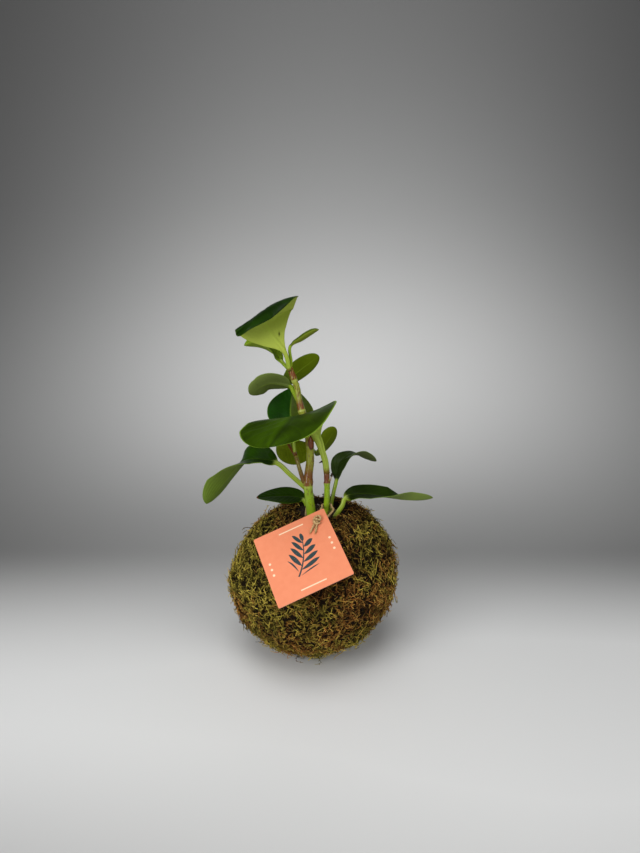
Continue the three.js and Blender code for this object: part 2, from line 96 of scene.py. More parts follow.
def make_piece(name, vertices, quads, triangles, material, numbers=None):
    """A mesh object from arrays: quads and triangles index the vertices; numbers are attributes."""
    vertices = np.ascontiguousarray(vertices, dtype=np.float64)
    volume = enclosed_volume(vertices, quads) + enclosed_volume(vertices, triangles)
    if volume < 0:
        quads, triangles = quads[:, ::-1], triangles[:, ::-1]
    corners = np.concatenate([quads.ravel(), triangles.ravel()])
    starts = np.concatenate([
        4 * np.arange(len(quads)),
        4 * len(quads) + 3 * np.arange(len(triangles)),
    ])
    mesh = bpy.data.meshes.new(name)
    mesh.vertices.add(len(vertices))
    mesh.vertices.foreach_set("co", vertices.ravel())
    mesh.loops.add(len(corners))
    mesh.loops.foreach_set("vertex_index", corners.astype(np.int32))
    mesh.polygons.add(len(starts))
    mesh.polygons.foreach_set("loop_start", starts.astype(np.int32))
    mesh.polygons.foreach_set("use_smooth", np.ones(len(starts), dtype=bool))
    for label, values in (numbers or {}).items():
        attribute = mesh.attributes.new(label, "FLOAT", "POINT")
        attribute.data.foreach_set("value", np.ascontiguousarray(values, dtype=np.float32))
    mesh.update(calc_edges=True)
    mesh.materials.append(material)
    piece = bpy.data.objects.new(name, mesh)
    bpy.context.collection.objects.link(piece)
    print(name, "faces:", len(starts), "cm3:", round(abs(volume) * 1e6, 3))
    return piece


NO_TRIANGLES = np.zeros((0, 3), dtype=int)


def grid_quads(rows, columns, closed):
    """Corner numbers of a grid's quads, row by row. A closed grid joins its last column to its first."""
    row = np.arange(rows - 1)[:, None] * columns
    column = np.arange(columns if closed else columns - 1)[None, :]
    after = (column + 1) % columns
    quads = np.stack([row + column, row + after, row + after + columns, row + column + columns], axis=-1)
    return quads.reshape(-1, 4)


def close_ends(rings):
    """Rings (n, k, 3) as one closed skin: quads between them, and a fan to the middle of each end ring."""
    count, sides, _ = rings.shape
    vertices = np.concatenate([rings.reshape(-1, 3), rings[[0, -1]].mean(axis=1)])
    around = np.arange(sides)
    after = (around + 1) % sides
    last = (count - 1) * sides
    first_fan = np.stack([np.full(sides, count * sides), after, around], axis=1)
    last_fan = np.stack([np.full(sides, count * sides + 1), last + around, last + after], axis=1)
    return vertices, grid_quads(count, sides, True), np.concatenate([first_fan, last_fan])


def join_parts(parts):
    """Several sets of arrays (vertices, quads, triangles) in one."""
    offsets = np.cumsum([0] + [len(part[0]) for part in parts[:-1]])
    vertices, *faces = zip(*parts)
    joined = (np.concatenate([f + offset for f, offset in zip(kind, offsets)]) for kind in faces)
    return np.concatenate(vertices), *joined


# %% The sweep that it stands on
SWEEP_WIDTH = 3.0
SWEEP_FRONT = -1.2
SWEEP_BEND = 0.18
SWEEP_RADIUS = 0.42
SWEEP_TOP = 1.9
SWEEP_STEPS = 40


def sweep_grid():
    """Flat to the bend, a quarter of a circle there, then straight up; the same at every X."""
    angle = np.linspace(0, math.pi / 2, SWEEP_STEPS)
    wall = SWEEP_BEND + SWEEP_RADIUS
    y = np.concatenate([[SWEEP_FRONT], SWEEP_BEND + SWEEP_RADIUS * np.sin(angle), [wall]])
    z = np.concatenate([[0], SWEEP_RADIUS * (1 - np.cos(angle)), [SWEEP_TOP]])
    x = np.array([-SWEEP_WIDTH / 2, SWEEP_WIDTH / 2])
    points = np.stack(np.broadcast_arrays(x, y[:, None], z[:, None]), axis=-1)
    return points.reshape(-1, 3), grid_quads(len(y), 2, False)


# %% [markdown]
# ## Finishes as expressions
#
# A material is a tree of nodes. Wiring them by hand hides the idea, so the class Value below
# wraps a node's output: adding, multiplying or raising two of them adds the Math node that does
# it, and its steps and bells turn a number into a share of 0 to 1. Colours go through Mix nodes,
# because a Math node would turn them grey: a list of shares and colours lays coat over coat.

# %% Values, nodes and finishes
def linear(colour):
    """A colour of three numbers of 0 to 255, for the screen, as the four that a shader reads. Any other
    colour is one of a shader already."""
    if isinstance(colour, Value) or len(colour) == 4:
        return colour
    return (*(((c / 255 + 0.055) / 1.055) ** 2.4 if c > 10 else c / 255 / 12.92 for c in colour), 1)


def arithmetic(operation, swapped=False):
    """A method that adds a Math node. Its first input is the value itself, or its last if swapped."""
    def method(self, *others):
        inputs = (*others, self) if swapped else (self, *others)
        return self.finish.math(operation, *inputs)
    return method


class Value:
    """One output of a node. Arithmetic on it adds Math nodes to its finish."""

    def __init__(self, finish, output):
        self.finish = finish
        self.output = output

    __add__ = __radd__ = arithmetic("ADD")
    __mul__ = __rmul__ = arithmetic("MULTIPLY")
    __sub__ = arithmetic("SUBTRACT")
    __rsub__ = arithmetic("SUBTRACT", swapped=True)
    __truediv__ = arithmetic("DIVIDE")
    __pow__ = arithmetic("POWER")
    __mod__ = arithmetic("FLOORED_MODULO")
    __abs__ = arithmetic("ABSOLUTE")
    sign = arithmetic("SIGN")
    cosine = arithmetic("COSINE")
    exponential = arithmetic("EXPONENT")
    at_most = arithmetic("MINIMUM")

    def step(self, low, high):
        """0 below low, 1 above high, and smooth between."""
        sockets = {"Value": self, "From Min": low, "From Max": high}
        return self.finish.node("MapRange", {"interpolation_type": "SMOOTHSTEP"}, sockets)

    def fade(self, low, high):
        """1 below low, 0 above high, and smooth between."""
        return 1 - self.step(low, high)

    def bell(self, place, width):
        """1 at the place, falling to 0 about two widths away."""
        return (((self - place) / width) ** 2 * -1).exponential()

    def inside(self, limit):
        """1 where the value is under the limit, with an edge that is a tenth soft."""
        return (self - limit).fade(-0.05, 0.05)


class Finish:
    """A material under construction."""

    def __init__(self, name):
        self.material = bpy.data.materials.new(name)
        self.material.use_nodes = True
        self.tree = self.material.node_tree
        self.tree.nodes.clear()

    def node(self, kind, settings=None, values=None, output=0):
        """Adds a node, makes its settings, fills or links its sockets and returns one output."""
        made = self.tree.nodes.new("ShaderNode" + kind)
        for name, setting in (settings or {}).items():
            setattr(made, name, setting)
        for key, value in (values or {}).items():
            if isinstance(value, Value):
                self.tree.links.new(value.output, made.inputs[key])
            else:
                made.inputs[key].default_value = value
        return Value(self, made.outputs[output] if made.outputs else None)

    def math(self, operation, *values):
        return self.node("Math", {"operation": operation}, dict(enumerate(values)))

    def mix(self, share, first, second):
        """The first colour where the share is 0, and the second where it is 1."""
        return self.node("Mix", {"data_type": "RGBA"}, {0: share, 6: linear(first), 7: linear(second)}, 2)

    def layers(self, colour, *coats):
        """The colour under coats, each of them a share of 0 to 1 and the colour that it lays on top."""
        for share, coat in coats:
            colour = self.mix(share, colour, coat)
        return colour

    def attribute(self, name):
        return self.node("Attribute", {"attribute_name": name}, output="Fac")

    def place(self, scale=(1, 1, 1)):
        """The point on the object, in metres, stretched along X, Y and Z."""
        point = self.node("TexCoord", output="Object")
        return self.node("Mapping", None, {"Vector": point, "Scale": scale})

    def axes(self, names="XYZ", point=None):
        """The coordinates of a point, which is the one on the object unless another is given."""
        sockets = {"Vector": point or self.place()}
        return [self.node("SeparateXYZ", None, sockets, name) for name in names]

    def noise(self, scale, detail=2.0, vector=None, roughness=0.5):
        """Cloudy noise round 0.5. The scale is in lumps for each metre."""
        sockets = {"Vector": vector or self.place(), "Scale": scale, "Detail": detail, "Roughness": roughness}
        return self.node("TexNoise", None, sockets)

    def surface(self, colour, roughness, height=None, depth=0.0, specular=0.5):
        """Ends the tree in one Principled shader. The height, of 0 to 1, is raised by depth metres."""
        sockets = {"Base Color": colour, "Roughness": roughness, "Specular IOR Level": specular}
        if height is not None:
            bump = {"Height": height, "Distance": depth, "Strength": 1.0}
            sockets["Normal"] = self.node("Bump", None, bump)
        shader = self.node("BsdfPrincipled", None, sockets)
        self.node("OutputMaterial", None, {"Surface": shader})
        return self.material


# %% The sweep's paint, and the lights
def sweep_finish():
    """Paper with painted light and shade, graded along its run, which is Y plus Z, and across it. The
    floor is pale up to where it starts to rise, with painted shade in front, most at the left. The wall
    has a broad painted pool of light and the foot of the rise a small one, and all of it falls off to
    both sides in a bell of painted shade."""
    finish = Finish("sweep_painted_light")
    x, y, z = finish.axes()
    run = y + z
    sides = x.bell(0.06, 0.46)
    front = run.fade(-0.3, -0.08) * (1.1 - x.step(-0.25, 0.05) * 0.6)
    floor = run.fade(-0.06, 0.2) * (1 - front)
    wall = run.bell(0.64, 0.38) * sides
    foot = run.bell(0.13, 0.1) * x.bell(-0.04, 0.22)
    # The share of pale paper is painted light and shade: bright pools on floor, wall and foot, darker sides
    # and front.
    share = floor * (0.78 + x.step(-0.02, 0.16) * 0.09)
    share = share + wall * 0.77 + foot * 0.12 + sides * 0.15 + 0.08
    paper = finish.mix(finish.noise(3.0), (227, 228, 228), (234, 234, 233))
    return finish.surface(finish.mix(share, (0, 0, 0), paper), 0.75)


sweep_points, sweep_quads = sweep_grid()
sweep = make_piece("sweep", sweep_points, sweep_quads[:, ::-1], NO_TRIANGLES, sweep_finish())


def soft_light(name, place, target, size, watts):
    """A square area light at a place, turned so that it shines at the target."""
    data = bpy.data.lights.new(name, "AREA")
    data.size = size
    data.energy = watts
    light = bpy.data.objects.new(name, data)
    light.location = place
    towards = np.array(target) - np.array(place)
    tilt = math.acos(-towards[2] / np.linalg.norm(towards))
    light.rotation_euler = (tilt, 0, math.atan2(towards[1], towards[0]) - math.pi / 2)
    bpy.context.collection.objects.link(light)


ROOM_GREY = (0.9, 0.9, 0.9, 1)
ROOM_STRENGTH = 0.2
soft_light("key", (-0.55, -0.85, 0.5), (0, 0, 0.1), 0.65, 6.6)
soft_light("fill", (0.7, -0.8, 0.5), (0, 0, 0.1), 0.6, 2.2)
soft_light("top", (-0.1, -0.4, 1.05), (0, -0.1, 0), 0.7, 5)
world = bpy.data.worlds.new("room")
world.use_nodes = True
background = world.node_tree.nodes["Background"].inputs
background["Color"].default_value = ROOM_GREY
background["Strength"].default_value = ROOM_STRENGTH
bpy.context.scene.world = world
bpy.context.scene.view_settings.view_transform = "Standard"

# %% [markdown]
# ## Curves that things grow along
#
# Stems, leaf stalks, midribs and twine all follow a smooth curve through a few points. The curve
# is a Catmull-Rom one: between two points it is a cubic whose slope at each point is half the
# step from the point before to the point after, so it passes through every point. It is then
# read at shares of its length, so that rings along it are spaced as they should be.

# %% Smooth routes
def curve_at(points, share):
    """The cubic between two neighbouring points of a Catmull-Rom curve, by even steps of its points."""
    p = np.asarray(points, dtype=float) * MM
    p = np.concatenate([[2 * p[0] - p[1]], p, [2 * p[-1] - p[-2]]])
    place = np.clip(share, 0, 1) * (len(points) - 1)
    index = np.minimum(place.astype(int), len(points) - 2)
    t = (place - index)[:, None]
    before, start, end, beyond = (p[index + k] for k in range(4))
    leave, arrive = (end - before) / 2, (beyond - start) / 2
    return (
        (2 * t**3 - 3 * t**2 + 1) * start + (t**3 - 2 * t**2 + t) * leave
        + (3 * t**2 - 2 * t**3) * end + (t**3 - t**2) * arrive
    )


FINE = np.linspace(0, 1, 1601)
NUDGE = 0.0005
EAST, NORTH, UP = np.eye(3)


def lengths_along(points):
    """Length of the curve from its start to each of the fine steps."""
    chords = np.linalg.norm(np.diff(curve_at(points, FINE), axis=0), axis=1)
    return np.concatenate([[0], np.cumsum(chords)])


def unit(vectors):
    """Each vector at length 1."""
    return vectors / np.maximum(np.linalg.norm(vectors, axis=-1, keepdims=True), 1e-12)


def route_at(points, share):
    """Places and unit directions at shares of the curve's length."""
    lengths = lengths_along(points)
    even = np.interp(np.asarray(share) * lengths[-1], lengths, FINE)
    return curve_at(points, even), unit(curve_at(points, even + NUDGE) - curve_at(points, even - NUDGE))


def square_to(ahead, reference):
    """Two unit directions that are square to the one ahead and to each other."""
    side = unit(np.cross(ahead, reference))
    return side, np.cross(ahead, side)


def circle(count):
    """Even angles once round."""
    return np.linspace(0, 2 * math.pi, count, endpoint=False)


def swing(angle, first, second):
    """The first direction turned by an angle towards the second."""
    return np.cos(angle)[..., None] * first + np.sin(angle)[..., None] * second


def rings_round(centre, ahead, reference, reach):
    """Rings (..., k, 3) square to a path, whose points lie at the distances reach (..., k) from it."""
    side, front = square_to(ahead, reference)
    out = swing(circle(reach.shape[-1]), side[..., None, :], front[..., None, :])
    return centre[..., None, :] + reach[..., None] * out


def bell(value, place, width):
    """1 where the value is at the place, falling to 0 about two widths away."""
    return np.exp(-(((value - place) / width) ** 2))


# %% [markdown]
# ## The stems
#
# Two fleshy stems and a thin brown shoot stand in the soil. A curve object with a bevel could
# draw them, but a real stem swells at each node, with a scar that goes round it where a leaf was.
# So each stem is a grid: along it by around it, with the radius given by a formula.

# %% Stem shapes
STEMS = {
    "stem_main": {
        "route": [
            (0.6, -12, 91), (-0.1, -12, 103.5), (-2.4, -12, 126.2), (-1, -11, 141.4), (-1.3, -10, 155.1),
            (-4.4, -8, 167.2), (-6.4, -7, 175.2), (-8.4, -6, 183.3), (-9.7, -5, 191.3), (-12.1, -5, 198.1),
            (-14.7, -5, 205.5),
        ],
        "radii": (3.5, 1.8),
        "nodes": [(0.31, 0.55), (0.55, 0.3), (0.73, 0.35), (0.93, 0.3)],
    },
    "stem_second": {
        "route": [(9.6, -10, 91), (10, -10, 104.2), (10.6, -10, 116.4), (10.6, -10, 127.1), (10.3, -9, 134)],
        "radii": (2.1, 1.9),
        "nodes": [(0.82, 0.3)],
    },
    "side_shoot": {
        "route": [
            (-3.6, -12.5, 125.5), (-5.4, -13, 128.6), (-7.8, -13, 136.3), (-9.8, -11, 142.8),
            (-11.7, -8, 147.6),
        ],
        "radii": (1.6, 1.2),
        "nodes": [(0.97, 0.25)],
    },
}
STEM_SIDES = 40
STEM_STEP = 0.35
NODE_WIDTH = 0.03
RIM_HEIGHT = 0.16
RIM_OFFSET = 0.004
RIM_WIDTH = 0.005


def stem_rings(stem):
    """Rings round the route. The radius runs evenly from soil to tip, plus at each node a broad swelling,
    a bell of 3% of the length, with a sharp rim on it, plus ridges that are waves round the stem."""
    rows = int(lengths_along(stem["route"])[-1] / (STEM_STEP * MM))
    share = np.linspace(0, 1, rows)
    radius = np.interp(share, (0, 1), stem["radii"])
    for place, extra in stem["nodes"]:
        radius = radius + extra * bell(share, place, NODE_WIDTH)
        radius = radius + RIM_HEIGHT * bell(share - place, RIM_OFFSET, RIM_WIDTH)
    angle = circle(STEM_SIDES)
    ridges = 0.05 * np.sin(9 * angle) + 0.03 * np.sin(17 * angle + 2)
    waves = 0.05 * np.sin(share[:, None] * 61 + 3 * angle)
    reach = (radius[:, None] + ridges + waves) * MM
    return rings_round(*route_at(stem["route"], share), -NORTH, reach), share


# %% [markdown]
# ### What colours a stem
#
# A young stem is a clear yellow-green. Above each node it starts red-brown at a sharp edge, which
# breaks up into streaks, and under the node it has a pale ring. The older part is freckled with
# brown. The streaks are noise that is stretched along Z, because the stems stand almost upright.

# %% Stem finish
def stem_finish(name, green, older, joint, nodes, freckles, scar=None):
    """From green at the foot to the older colour, with freckles. Above each node the joint colour starts
    with a sharp edge and fades upwards in streaks. A scar is an oval on the front."""
    finish = Finish(name)
    share = finish.attribute("share")
    streaks = finish.noise(900, 3, finish.place((1, 1, 0.16)))
    broad = finish.noise(160, 2)
    first = nodes[0][0]
    skin = finish.mix(share.step(first - 0.01, first + 0.01), green, older)
    spots = finish.noise(520, 4, finish.place((1, 1, 0.45))).step(0.54, 0.66) * freckles
    coats = [(broad, finish.mix(0.35, skin, (60, 76, 10))), (spots, (112, 84, 34))]
    for place, reach, strength in nodes:
        above = share.step(place - 0.003, place + 0.003)
        above = above * share.fade(place + reach / 3, place + reach)
        ring = share.bell(place - 0.008, 0.006) * 0.7
        coats += [(above * streaks.step(0.32, 0.46) * strength, joint), (ring, (178, 190, 88))]
    if scar:
        x, y, z = finish.axes()
        oval = (((x - scar[0] * MM) / (2 * MM)) ** 2 + ((z - scar[2] * MM) / (4.2 * MM)) ** 2) ** 0.5
        front = y.step((scar[1] + 0.6) * MM, scar[1] * MM)
        coats += [
            (oval.fade(0.9, 1.05) * front, (124, 62, 30)),
            (oval.bell(1.0, 0.16) * front, (80, 30, 12)),
        ]
    height = streaks * 0.6 + finish.noise(1800, 2) * 0.4
    return finish.surface(finish.layers(skin, *coats), 0.22 + broad * 0.12, height, 0.00014)


STEM_GREEN = (152, 186, 34)
STEM_OLIVE = (160, 166, 52)
stem_looks = {
    "stem_main": stem_finish(
        "main_stem_skin", STEM_GREEN, STEM_OLIVE, (118, 54, 18),
        [(0.295, 0.17, 0.85), (0.53, 0.07, 0.6), (0.745, 0.075, 0.95), (0.925, 0.16, 0.95)],
        0.8, (0, -9.4, 155),
    ),
    "stem_second": stem_finish(
        "second_stem_skin", STEM_GREEN, STEM_OLIVE, (112, 50, 26), [(0.825, 0.5, 0.95)], 0.4,
    ),
    "side_shoot": stem_finish(
        "shoot_skin", (128, 122, 36), (126, 112, 34), (108, 62, 20),
        [(0.1, 0.5, 0.7), (0.86, 0.3, 0.9)], 0.9,
    ),
}
for name, stem in STEMS.items():
    rings, share = stem_rings(stem)
    vertices, quads, triangles = close_ends(rings)
    shares = np.concatenate([np.repeat(share, STEM_SIDES), [0, 1]])
    piece = make_piece(name + "_skin", vertices, quads, triangles, stem_looks[name], {"share": shares})
    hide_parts(name)
    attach(piece, "root")

# %% Dry bits on the stems
DRY_RINGS, DRY_SIDES = 12, 10


def dry_finish():
    """Nearly black where the number called pale is 0, and the tan of dead stalk where it is 1."""
    finish = Finish("dry_bits")
    grain = finish.noise(900, 3)
    dark = finish.mix(grain, (20, 12, 8), (58, 40, 24))
    tan = finish.mix(grain, (150, 120, 78), (204, 178, 128))
    return finish.surface(finish.mix(finish.attribute("pale"), dark, tan), 0.8, grain, 0.0003)


def tapered(route, start, end):
    """A tube along a short route whose radius runs from start to end, in millimetres."""
    share = np.linspace(0, 1, DRY_RINGS)
    radius = np.interp(share, (0, 1), (start, end)) * MM
    reach = np.repeat(radius[:, None], DRY_SIDES, axis=1)
    return close_ends(rings_round(*route_at(route, share), (0.3, 0.9, 0.2), reach))


dry_bits = [
    (tapered([(12.4, -9.6, 126.8), (13.2, -9.4, 129), (13.6, -9.2, 131.2)], 0.5, 0.35), 1.0),
    (tapered([(13.5, -9.3, 131), (13.9, -9.2, 132.2), (13.8, -9.1, 133.2)], 1.0, 0.5), 0.0),
    (tapered([(7.6, -11, 141.9), (6.4, -11.3, 141.5), (5, -11.5, 140.8)], 0.9, 0.15), 0.0),
    (tapered([(-4.1, -12.6, 104), (-4, -12.7, 106.5), (-3.8, -12.7, 109.5)], 0.7, 0.4), 1.0),
]
vertices, quads, triangles = join_parts([part for part, _ in dry_bits])
pale = np.concatenate([np.full(len(part[0]), share) for part, share in dry_bits])
bits = make_piece("dry_bits", vertices, quads, triangles, dry_finish(), {"pale": pale})
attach(bits, "root")

# %% [markdown]
# ## The leaves
#
# Each leaf is one piece with its stalk. A real blade is a fleshy sheet, thickest along its
# midrib, that curls along and across. It could be a subdivided plane that is bent by hand, but
# thirteen leaves that fit together are easier to control by formula: a route for stalk and
# midrib, a width for each share of it, and the way that the upper face looks.

# %% Leaf measurements, in millimetres and degrees
LEAVES = {
    "leaf_top": dict(
        route=[
            (-14.9, -6.4, 204.4), (-16.2, -8, 211.7), (-18.8, -9, 217.5), (-25.8, -7, 226.5),
            (-31.5, -4.5, 236), (-31, -10, 242.2), (-28.2, -20, 242.8), (-24, -28.5, 238),
        ],
        blade=1, half_width=25, outline=(2, 1), stalk=1.5,
        facing=[
            (-0.3, 0.9, 0.1), (-0.35, 0.85, 0.3), (-0.5, 0.6, 0.6), (-0.55, -0.1, 0.82), (-0.4, -0.7, 0.6),
        ],
        cup=[20, 10, -10, -25, -20],
    ),
    "leaf_young_left": dict(
        route=[
            (-15.2, -4.2, 204), (-20.7, 0, 209.2), (-24.8, 2, 213.8), (-33.7, 3, 218.1), (-45.6, 0, 219.6),
        ],
        blade=1, half_width=8, outline=(0.8, 0.6), stalk=1.2,
        facing=[(0.3, -0.3, 1)], cup=[0, 30, 40], fold=[0, 30, 30], wing=1.4,
    ),
    "leaf_young_right": dict(
        route=[
            (-13.9, -5.2, 204.5), (-13.6, -5.4, 209.5), (-14, -6, 219.3), (-5.6, -4, 223.6), (5.1, -2, 230.3),
        ],
        blade=2, half_width=4.5, outline=(0.9, 0.6), stalk=0.9,
        facing=[(-0.5, -0.1, 1), (-0.3, -0.3, 1)], cup=[30], fold=[30],
    ),
    "leaf_round_right": dict(
        route=[
            (-9.9, -2.9, 193.2), (-13, 1.4, 190.8), (-19.4, 5.5, 192.8), (-15, 9, 197), (-8.1, 11, 202.4),
            (-1.3, 11, 207.5), (4.9, 11, 212.2),
        ],
        blade=2, half_width=7.6, outline=(0.6, 0.5), stalk=1.3,
        facing=[(-0.3, 0.9, 0.3)], cup=[20],
    ),
    "leaf_round_left": dict(
        route=[
            (-8.3, -5.6, 181), (-12.2, -4, 188.6), (-15, -3, 192.6), (-27.3, -7.5, 195),
            (-36, -10.5, 191.8), (-41.4, -12, 188.6),
        ],
        blade=2, half_width=9, outline=(0.5, 0.5), stalk=1.4,
        facing=[(0.1, 0.8, 0.7)], cup=[15],
    ),
    "leaf_back": dict(
        route=[
            (-11.4, -8.4, 146.6), (-12.3, -7, 154.5), (-12.9, 0, 160.1), (-15, 9, 172.8), (-13.5, 14, 190.3),
        ],
        blade=2, half_width=16.5, outline=(0.9, 1.05), stalk=1.2,
        facing=[(0, -1, 0.3)], cup=[20],
    ),
    "leaf_front": dict(
        route=[
            (10.3, -9.1, 134.3), (9.3, -10.5, 142), (7.1, -11, 149.5), (4.3, -12, 157.3), (-1, -14, 165.4),
            (-9.5, -24, 175), (-16, -40, 171.5), (-25, -55, 160.8),
        ],
        blade=3, half_width=36.5, outline=(1.2, 0.55), stalk=2.1,
        facing=[(0.3, 0.9, 0.3), (0, 0.6, 0.8), (-0.27, -0.1, 1), (-0.48, -0.4, 0.9), (-0.7, -0.7, 0.6)],
        cup=[25, 15, 9, 0], sway=[0, -3, -6, -6], wing=1.2,
    ),
    "leaf_small_right": dict(
        route=[(-0.6, -10.4, 152), (2.4, -2, 146.4), (5.9, 7, 146), (11.4, 13, 152), (17, 16, 160.4)],
        blade=1, half_width=7.5, outline=(1, 0.5), stalk=1.2,
        facing=[(-0.5, 0.8, 0.3)], cup=[20],
    ),
    "leaf_behind_left": dict(
        route=[
            (-11.5, -8.2, 146.4), (-15.2, -4, 151.5), (-17, 3, 153.5), (-15.5, 12, 150.2), (-13.4, 19, 141.9),
            (-12.5, 22, 131.5),
        ],
        blade=2, half_width=13, outline=(0.9, 0.5), stalk=1.1,
        facing=[(0, 0.1, 1), (0, 0.9, 0.3)], cup=[10],
    ),
    "leaf_drooping_left": dict(
        route=[
            (-3.2, -12, 122.5), (-14.5, -14, 133.5), (-23.5, -11, 140.6), (-37.4, -7, 142.6),
            (-49, -5, 139.5), (-60.3, -3, 126.3), (-73.8, -4, 109.6),
        ],
        blade=2, half_width=17, outline=(0.65, 0.6), stalk=1.6,
        facing=[(0, -0.5, 1), (0, -0.4, 1), (-0.2, 0.2, 1), (-0.8, 0.5, 0.4), (-0.8, 0.6, 0.4)],
        cup=[30, 20, 10, 20, 20], fold=[15, 10, 0, 5, 5],
    ),
    "leaf_low_left": dict(
        route=[
            (-3, 2, 92), (-3.6, 3.5, 103.5), (-6, 6, 109.4), (-13.6, 7.5, 111.8), (-26.4, 5, 112.4),
            (-39.2, 1, 112.6),
        ],
        blade=2, half_width=10, outline=(0.5, 0.7), stalk=1.4,
        facing=[(0, -0.4, 1), (0, -0.25, 1)], cup=[10],
    ),
    "leaf_low_right": dict(
        route=[
            (12, -16.5, 92), (15.8, -18, 104.5), (20.6, -18.6, 112.4), (22.8, -18, 117.6),
            (29.4, -16.5, 120.4), (41, -14, 119.6), (54.4, -12, 116.8), (68, -10, 114.6), (84.1, -8, 115.3),
        ],
        blade=3, half_width=9.4, outline=(0.4, 0.65), stalk=1.5,
        facing=[(-0.1, -0.4, 1), (0, -0.35, 1), (0, -0.1, 1), (0, 0.7, 0.8), (0, 1, 0.7)],
        cup=[15], fold=[5, 5, 20, 20, 10],
    ),
    "leaf_mid_right": dict(
        route=[
            (12.8, -5, 93), (13.6, -5, 108.7), (15.4, -4.5, 118.5), (17.2, -3.5, 126.5), (18.3, -1, 134.6),
            (21.6, 1.5, 140), (31.5, 3.5, 143.4), (45.6, 4, 138.4),
        ],
        blade=3, half_width=8, outline=(0.8, 0.6), stalk=1.3,
        facing=[(-0.4, -0.9, 0.2), (-0.4, -0.8, 0.5), (-0.3, -0.1, 1), (0.1, 0.5, 0.9), (0.3, 0.6, 0.8)],
        cup=[15], fold=[5],
    ),
}
print("leaves:", len(LEAVES))

# %% [markdown]
# ### From a route to a blade
#
# One section of a leaf is a thin lens. Its points run over the upper face from one margin to the
# other and back under the lower face. Across the section, each half bends as an arc of a circle.
# A keel under the middle grows out of the round stalk, and a groove runs along the upper face.
# In the list, sway is how much more one half bends than the other, and wing widens the top of a
# stalk before the blade starts.

# %% Leaf sections
BLADE_HALF = 0.5
STALK_ROWS = 26
BLADE_ROWS = 110
FACE_POINTS = 41
SUNK = 1.2
STALK_FADE = 0.12
GROOVE_DEPTH, GROOVE_WIDTH = 0.5, 0.9
VEIN_COUNT, VEIN_LEAN = 9, 2.4
FLAT = [0]


def spread(values, share):
    """The value at a share of a list of evenly spaced values or vectors."""
    values = np.asarray(values, dtype=float)
    steps = np.linspace(0, 1, len(values))
    if values.ndim == 1:
        return np.interp(share, steps, values)
    return np.stack([np.interp(share, steps, column) for column in values.T], axis=-1)


def outline_width(leaf, u):
    """The stalk's radius, and the blade's u^p (1 - u)^q at its widest half-width, joined as two sides of
    a right angle are by the third."""
    p, q = leaf["outline"]
    widest = (p / (p + q)) ** p * (q / (p + q)) ** q
    return np.hypot(leaf["stalk"] * (1 - u), leaf["half_width"] * u**p * (1 - u) ** q / widest)


def section_points():
    """Shares from margin to margin over the upper face and back under it, closer at the margins, and the
    face that each is on: 1 for the upper, -1 for the lower and 0 for a margin."""
    over = np.sin(np.linspace(-1, 1, FACE_POINTS) * math.pi / 2)
    face = np.concatenate([[0], np.ones(FACE_POINTS - 2), [0], -np.ones(FACE_POINTS - 2)])
    return np.concatenate([over, over[-2:0:-1]]), face


def leaf_rings(leaf, seed):
    """Rings from the sunk end of the stalk to the tip. With them come each ring's place along the leaf, of
    -1 at the stem, 0 at the foot of the blade and 1 at the tip, and each point's share across and face."""
    points = leaf["route"]
    lengths = lengths_along(points)
    blade_at = np.interp(leaf["blade"] / (len(points) - 1), FINE, lengths) / lengths[-1]
    stalk = np.linspace(0, 1, STALK_ROWS, endpoint=False)
    u_blade = (1 - np.cos(np.linspace(0, math.pi, BLADE_ROWS, endpoint=False))) / 2
    centre, ahead = route_at(points, np.concatenate([blade_at * stalk, blade_at + (1 - blade_at) * u_blade]))
    centre[0] -= ahead[0] * SUNK * MM
    u = np.concatenate([np.zeros(STALK_ROWS), u_blade])[:, None]
    facing = spread(leaf["facing"], u[:, 0])
    up = unit(facing - np.einsum("ij,ij->i", facing, ahead)[:, None] * ahead)
    side = np.cross(ahead, up)

    share, face = section_points()
    across = np.abs(share)[None, :]
    wing = np.clip(np.concatenate([stalk / 0.8 - 0.25, np.ones(BLADE_ROWS)]), 0, 1)[:, None] ** 2
    half = outline_width(leaf, u) + leaf.get("wing", 0) * wing * (1 - u)
    ramp = np.minimum(1, 8 * u)
    raised = np.radians(spread(leaf.get("fold", FLAT), u)) * ramp
    bend = spread(leaf["cup"], u) + spread(leaf.get("sway", FLAT), u) * np.sign(share)
    curl = np.radians(bend) * ramp + 1e-4
    lean = raised + curl * across
    out = half * (np.sin(lean) - np.sin(raised)) / curl
    rise = half * (np.cos(raised) - np.cos(lean)) / curl

    reach = half * across
    fade = np.clip(u / STALK_FADE, 0, 1)
    above = leaf["stalk"] * (1 - fade**2 * (3 - 2 * fade))
    rib = np.where(face > 0, above, leaf["stalk"] * (1 - u) ** 1.3)
    rounded = rib * np.sqrt(np.maximum(0, 1 - (reach / leaf["stalk"]) ** 2))
    sheet = BLADE_HALF * np.sqrt(1 - across**6) * np.sqrt(1 - u**14)
    thick = face * np.hypot(rounded, sheet)
    groove = GROOVE_DEPTH * bell(reach, 0, GROOVE_WIDTH) * np.clip(u * 12 - 0.5, 0, 1) * (1 - u) ** 0.4
    veins = 0.05 * np.cos(2 * math.pi * (VEIN_COUNT * u - VEIN_LEAN * across)) * across * (1 - across)
    thick = thick - np.where(face > 0, groove, 0) + np.abs(face) * 4 * veins * ramp * (half > 4)
    waves = 0.03 * half * across**3 * np.sin(7 * u + seed + 1.7 * np.sign(share)) * ramp
    sideways = np.sign(share) * (out - thick * np.sin(lean))
    upward = rise + thick * np.cos(lean) + waves
    rings = centre[:, None] + (sideways[..., None] * side[:, None] + upward[..., None] * up[:, None]) * MM
    along = np.concatenate([stalk - 1, u_blade])
    return rings, along, share, (face + 1) / 2
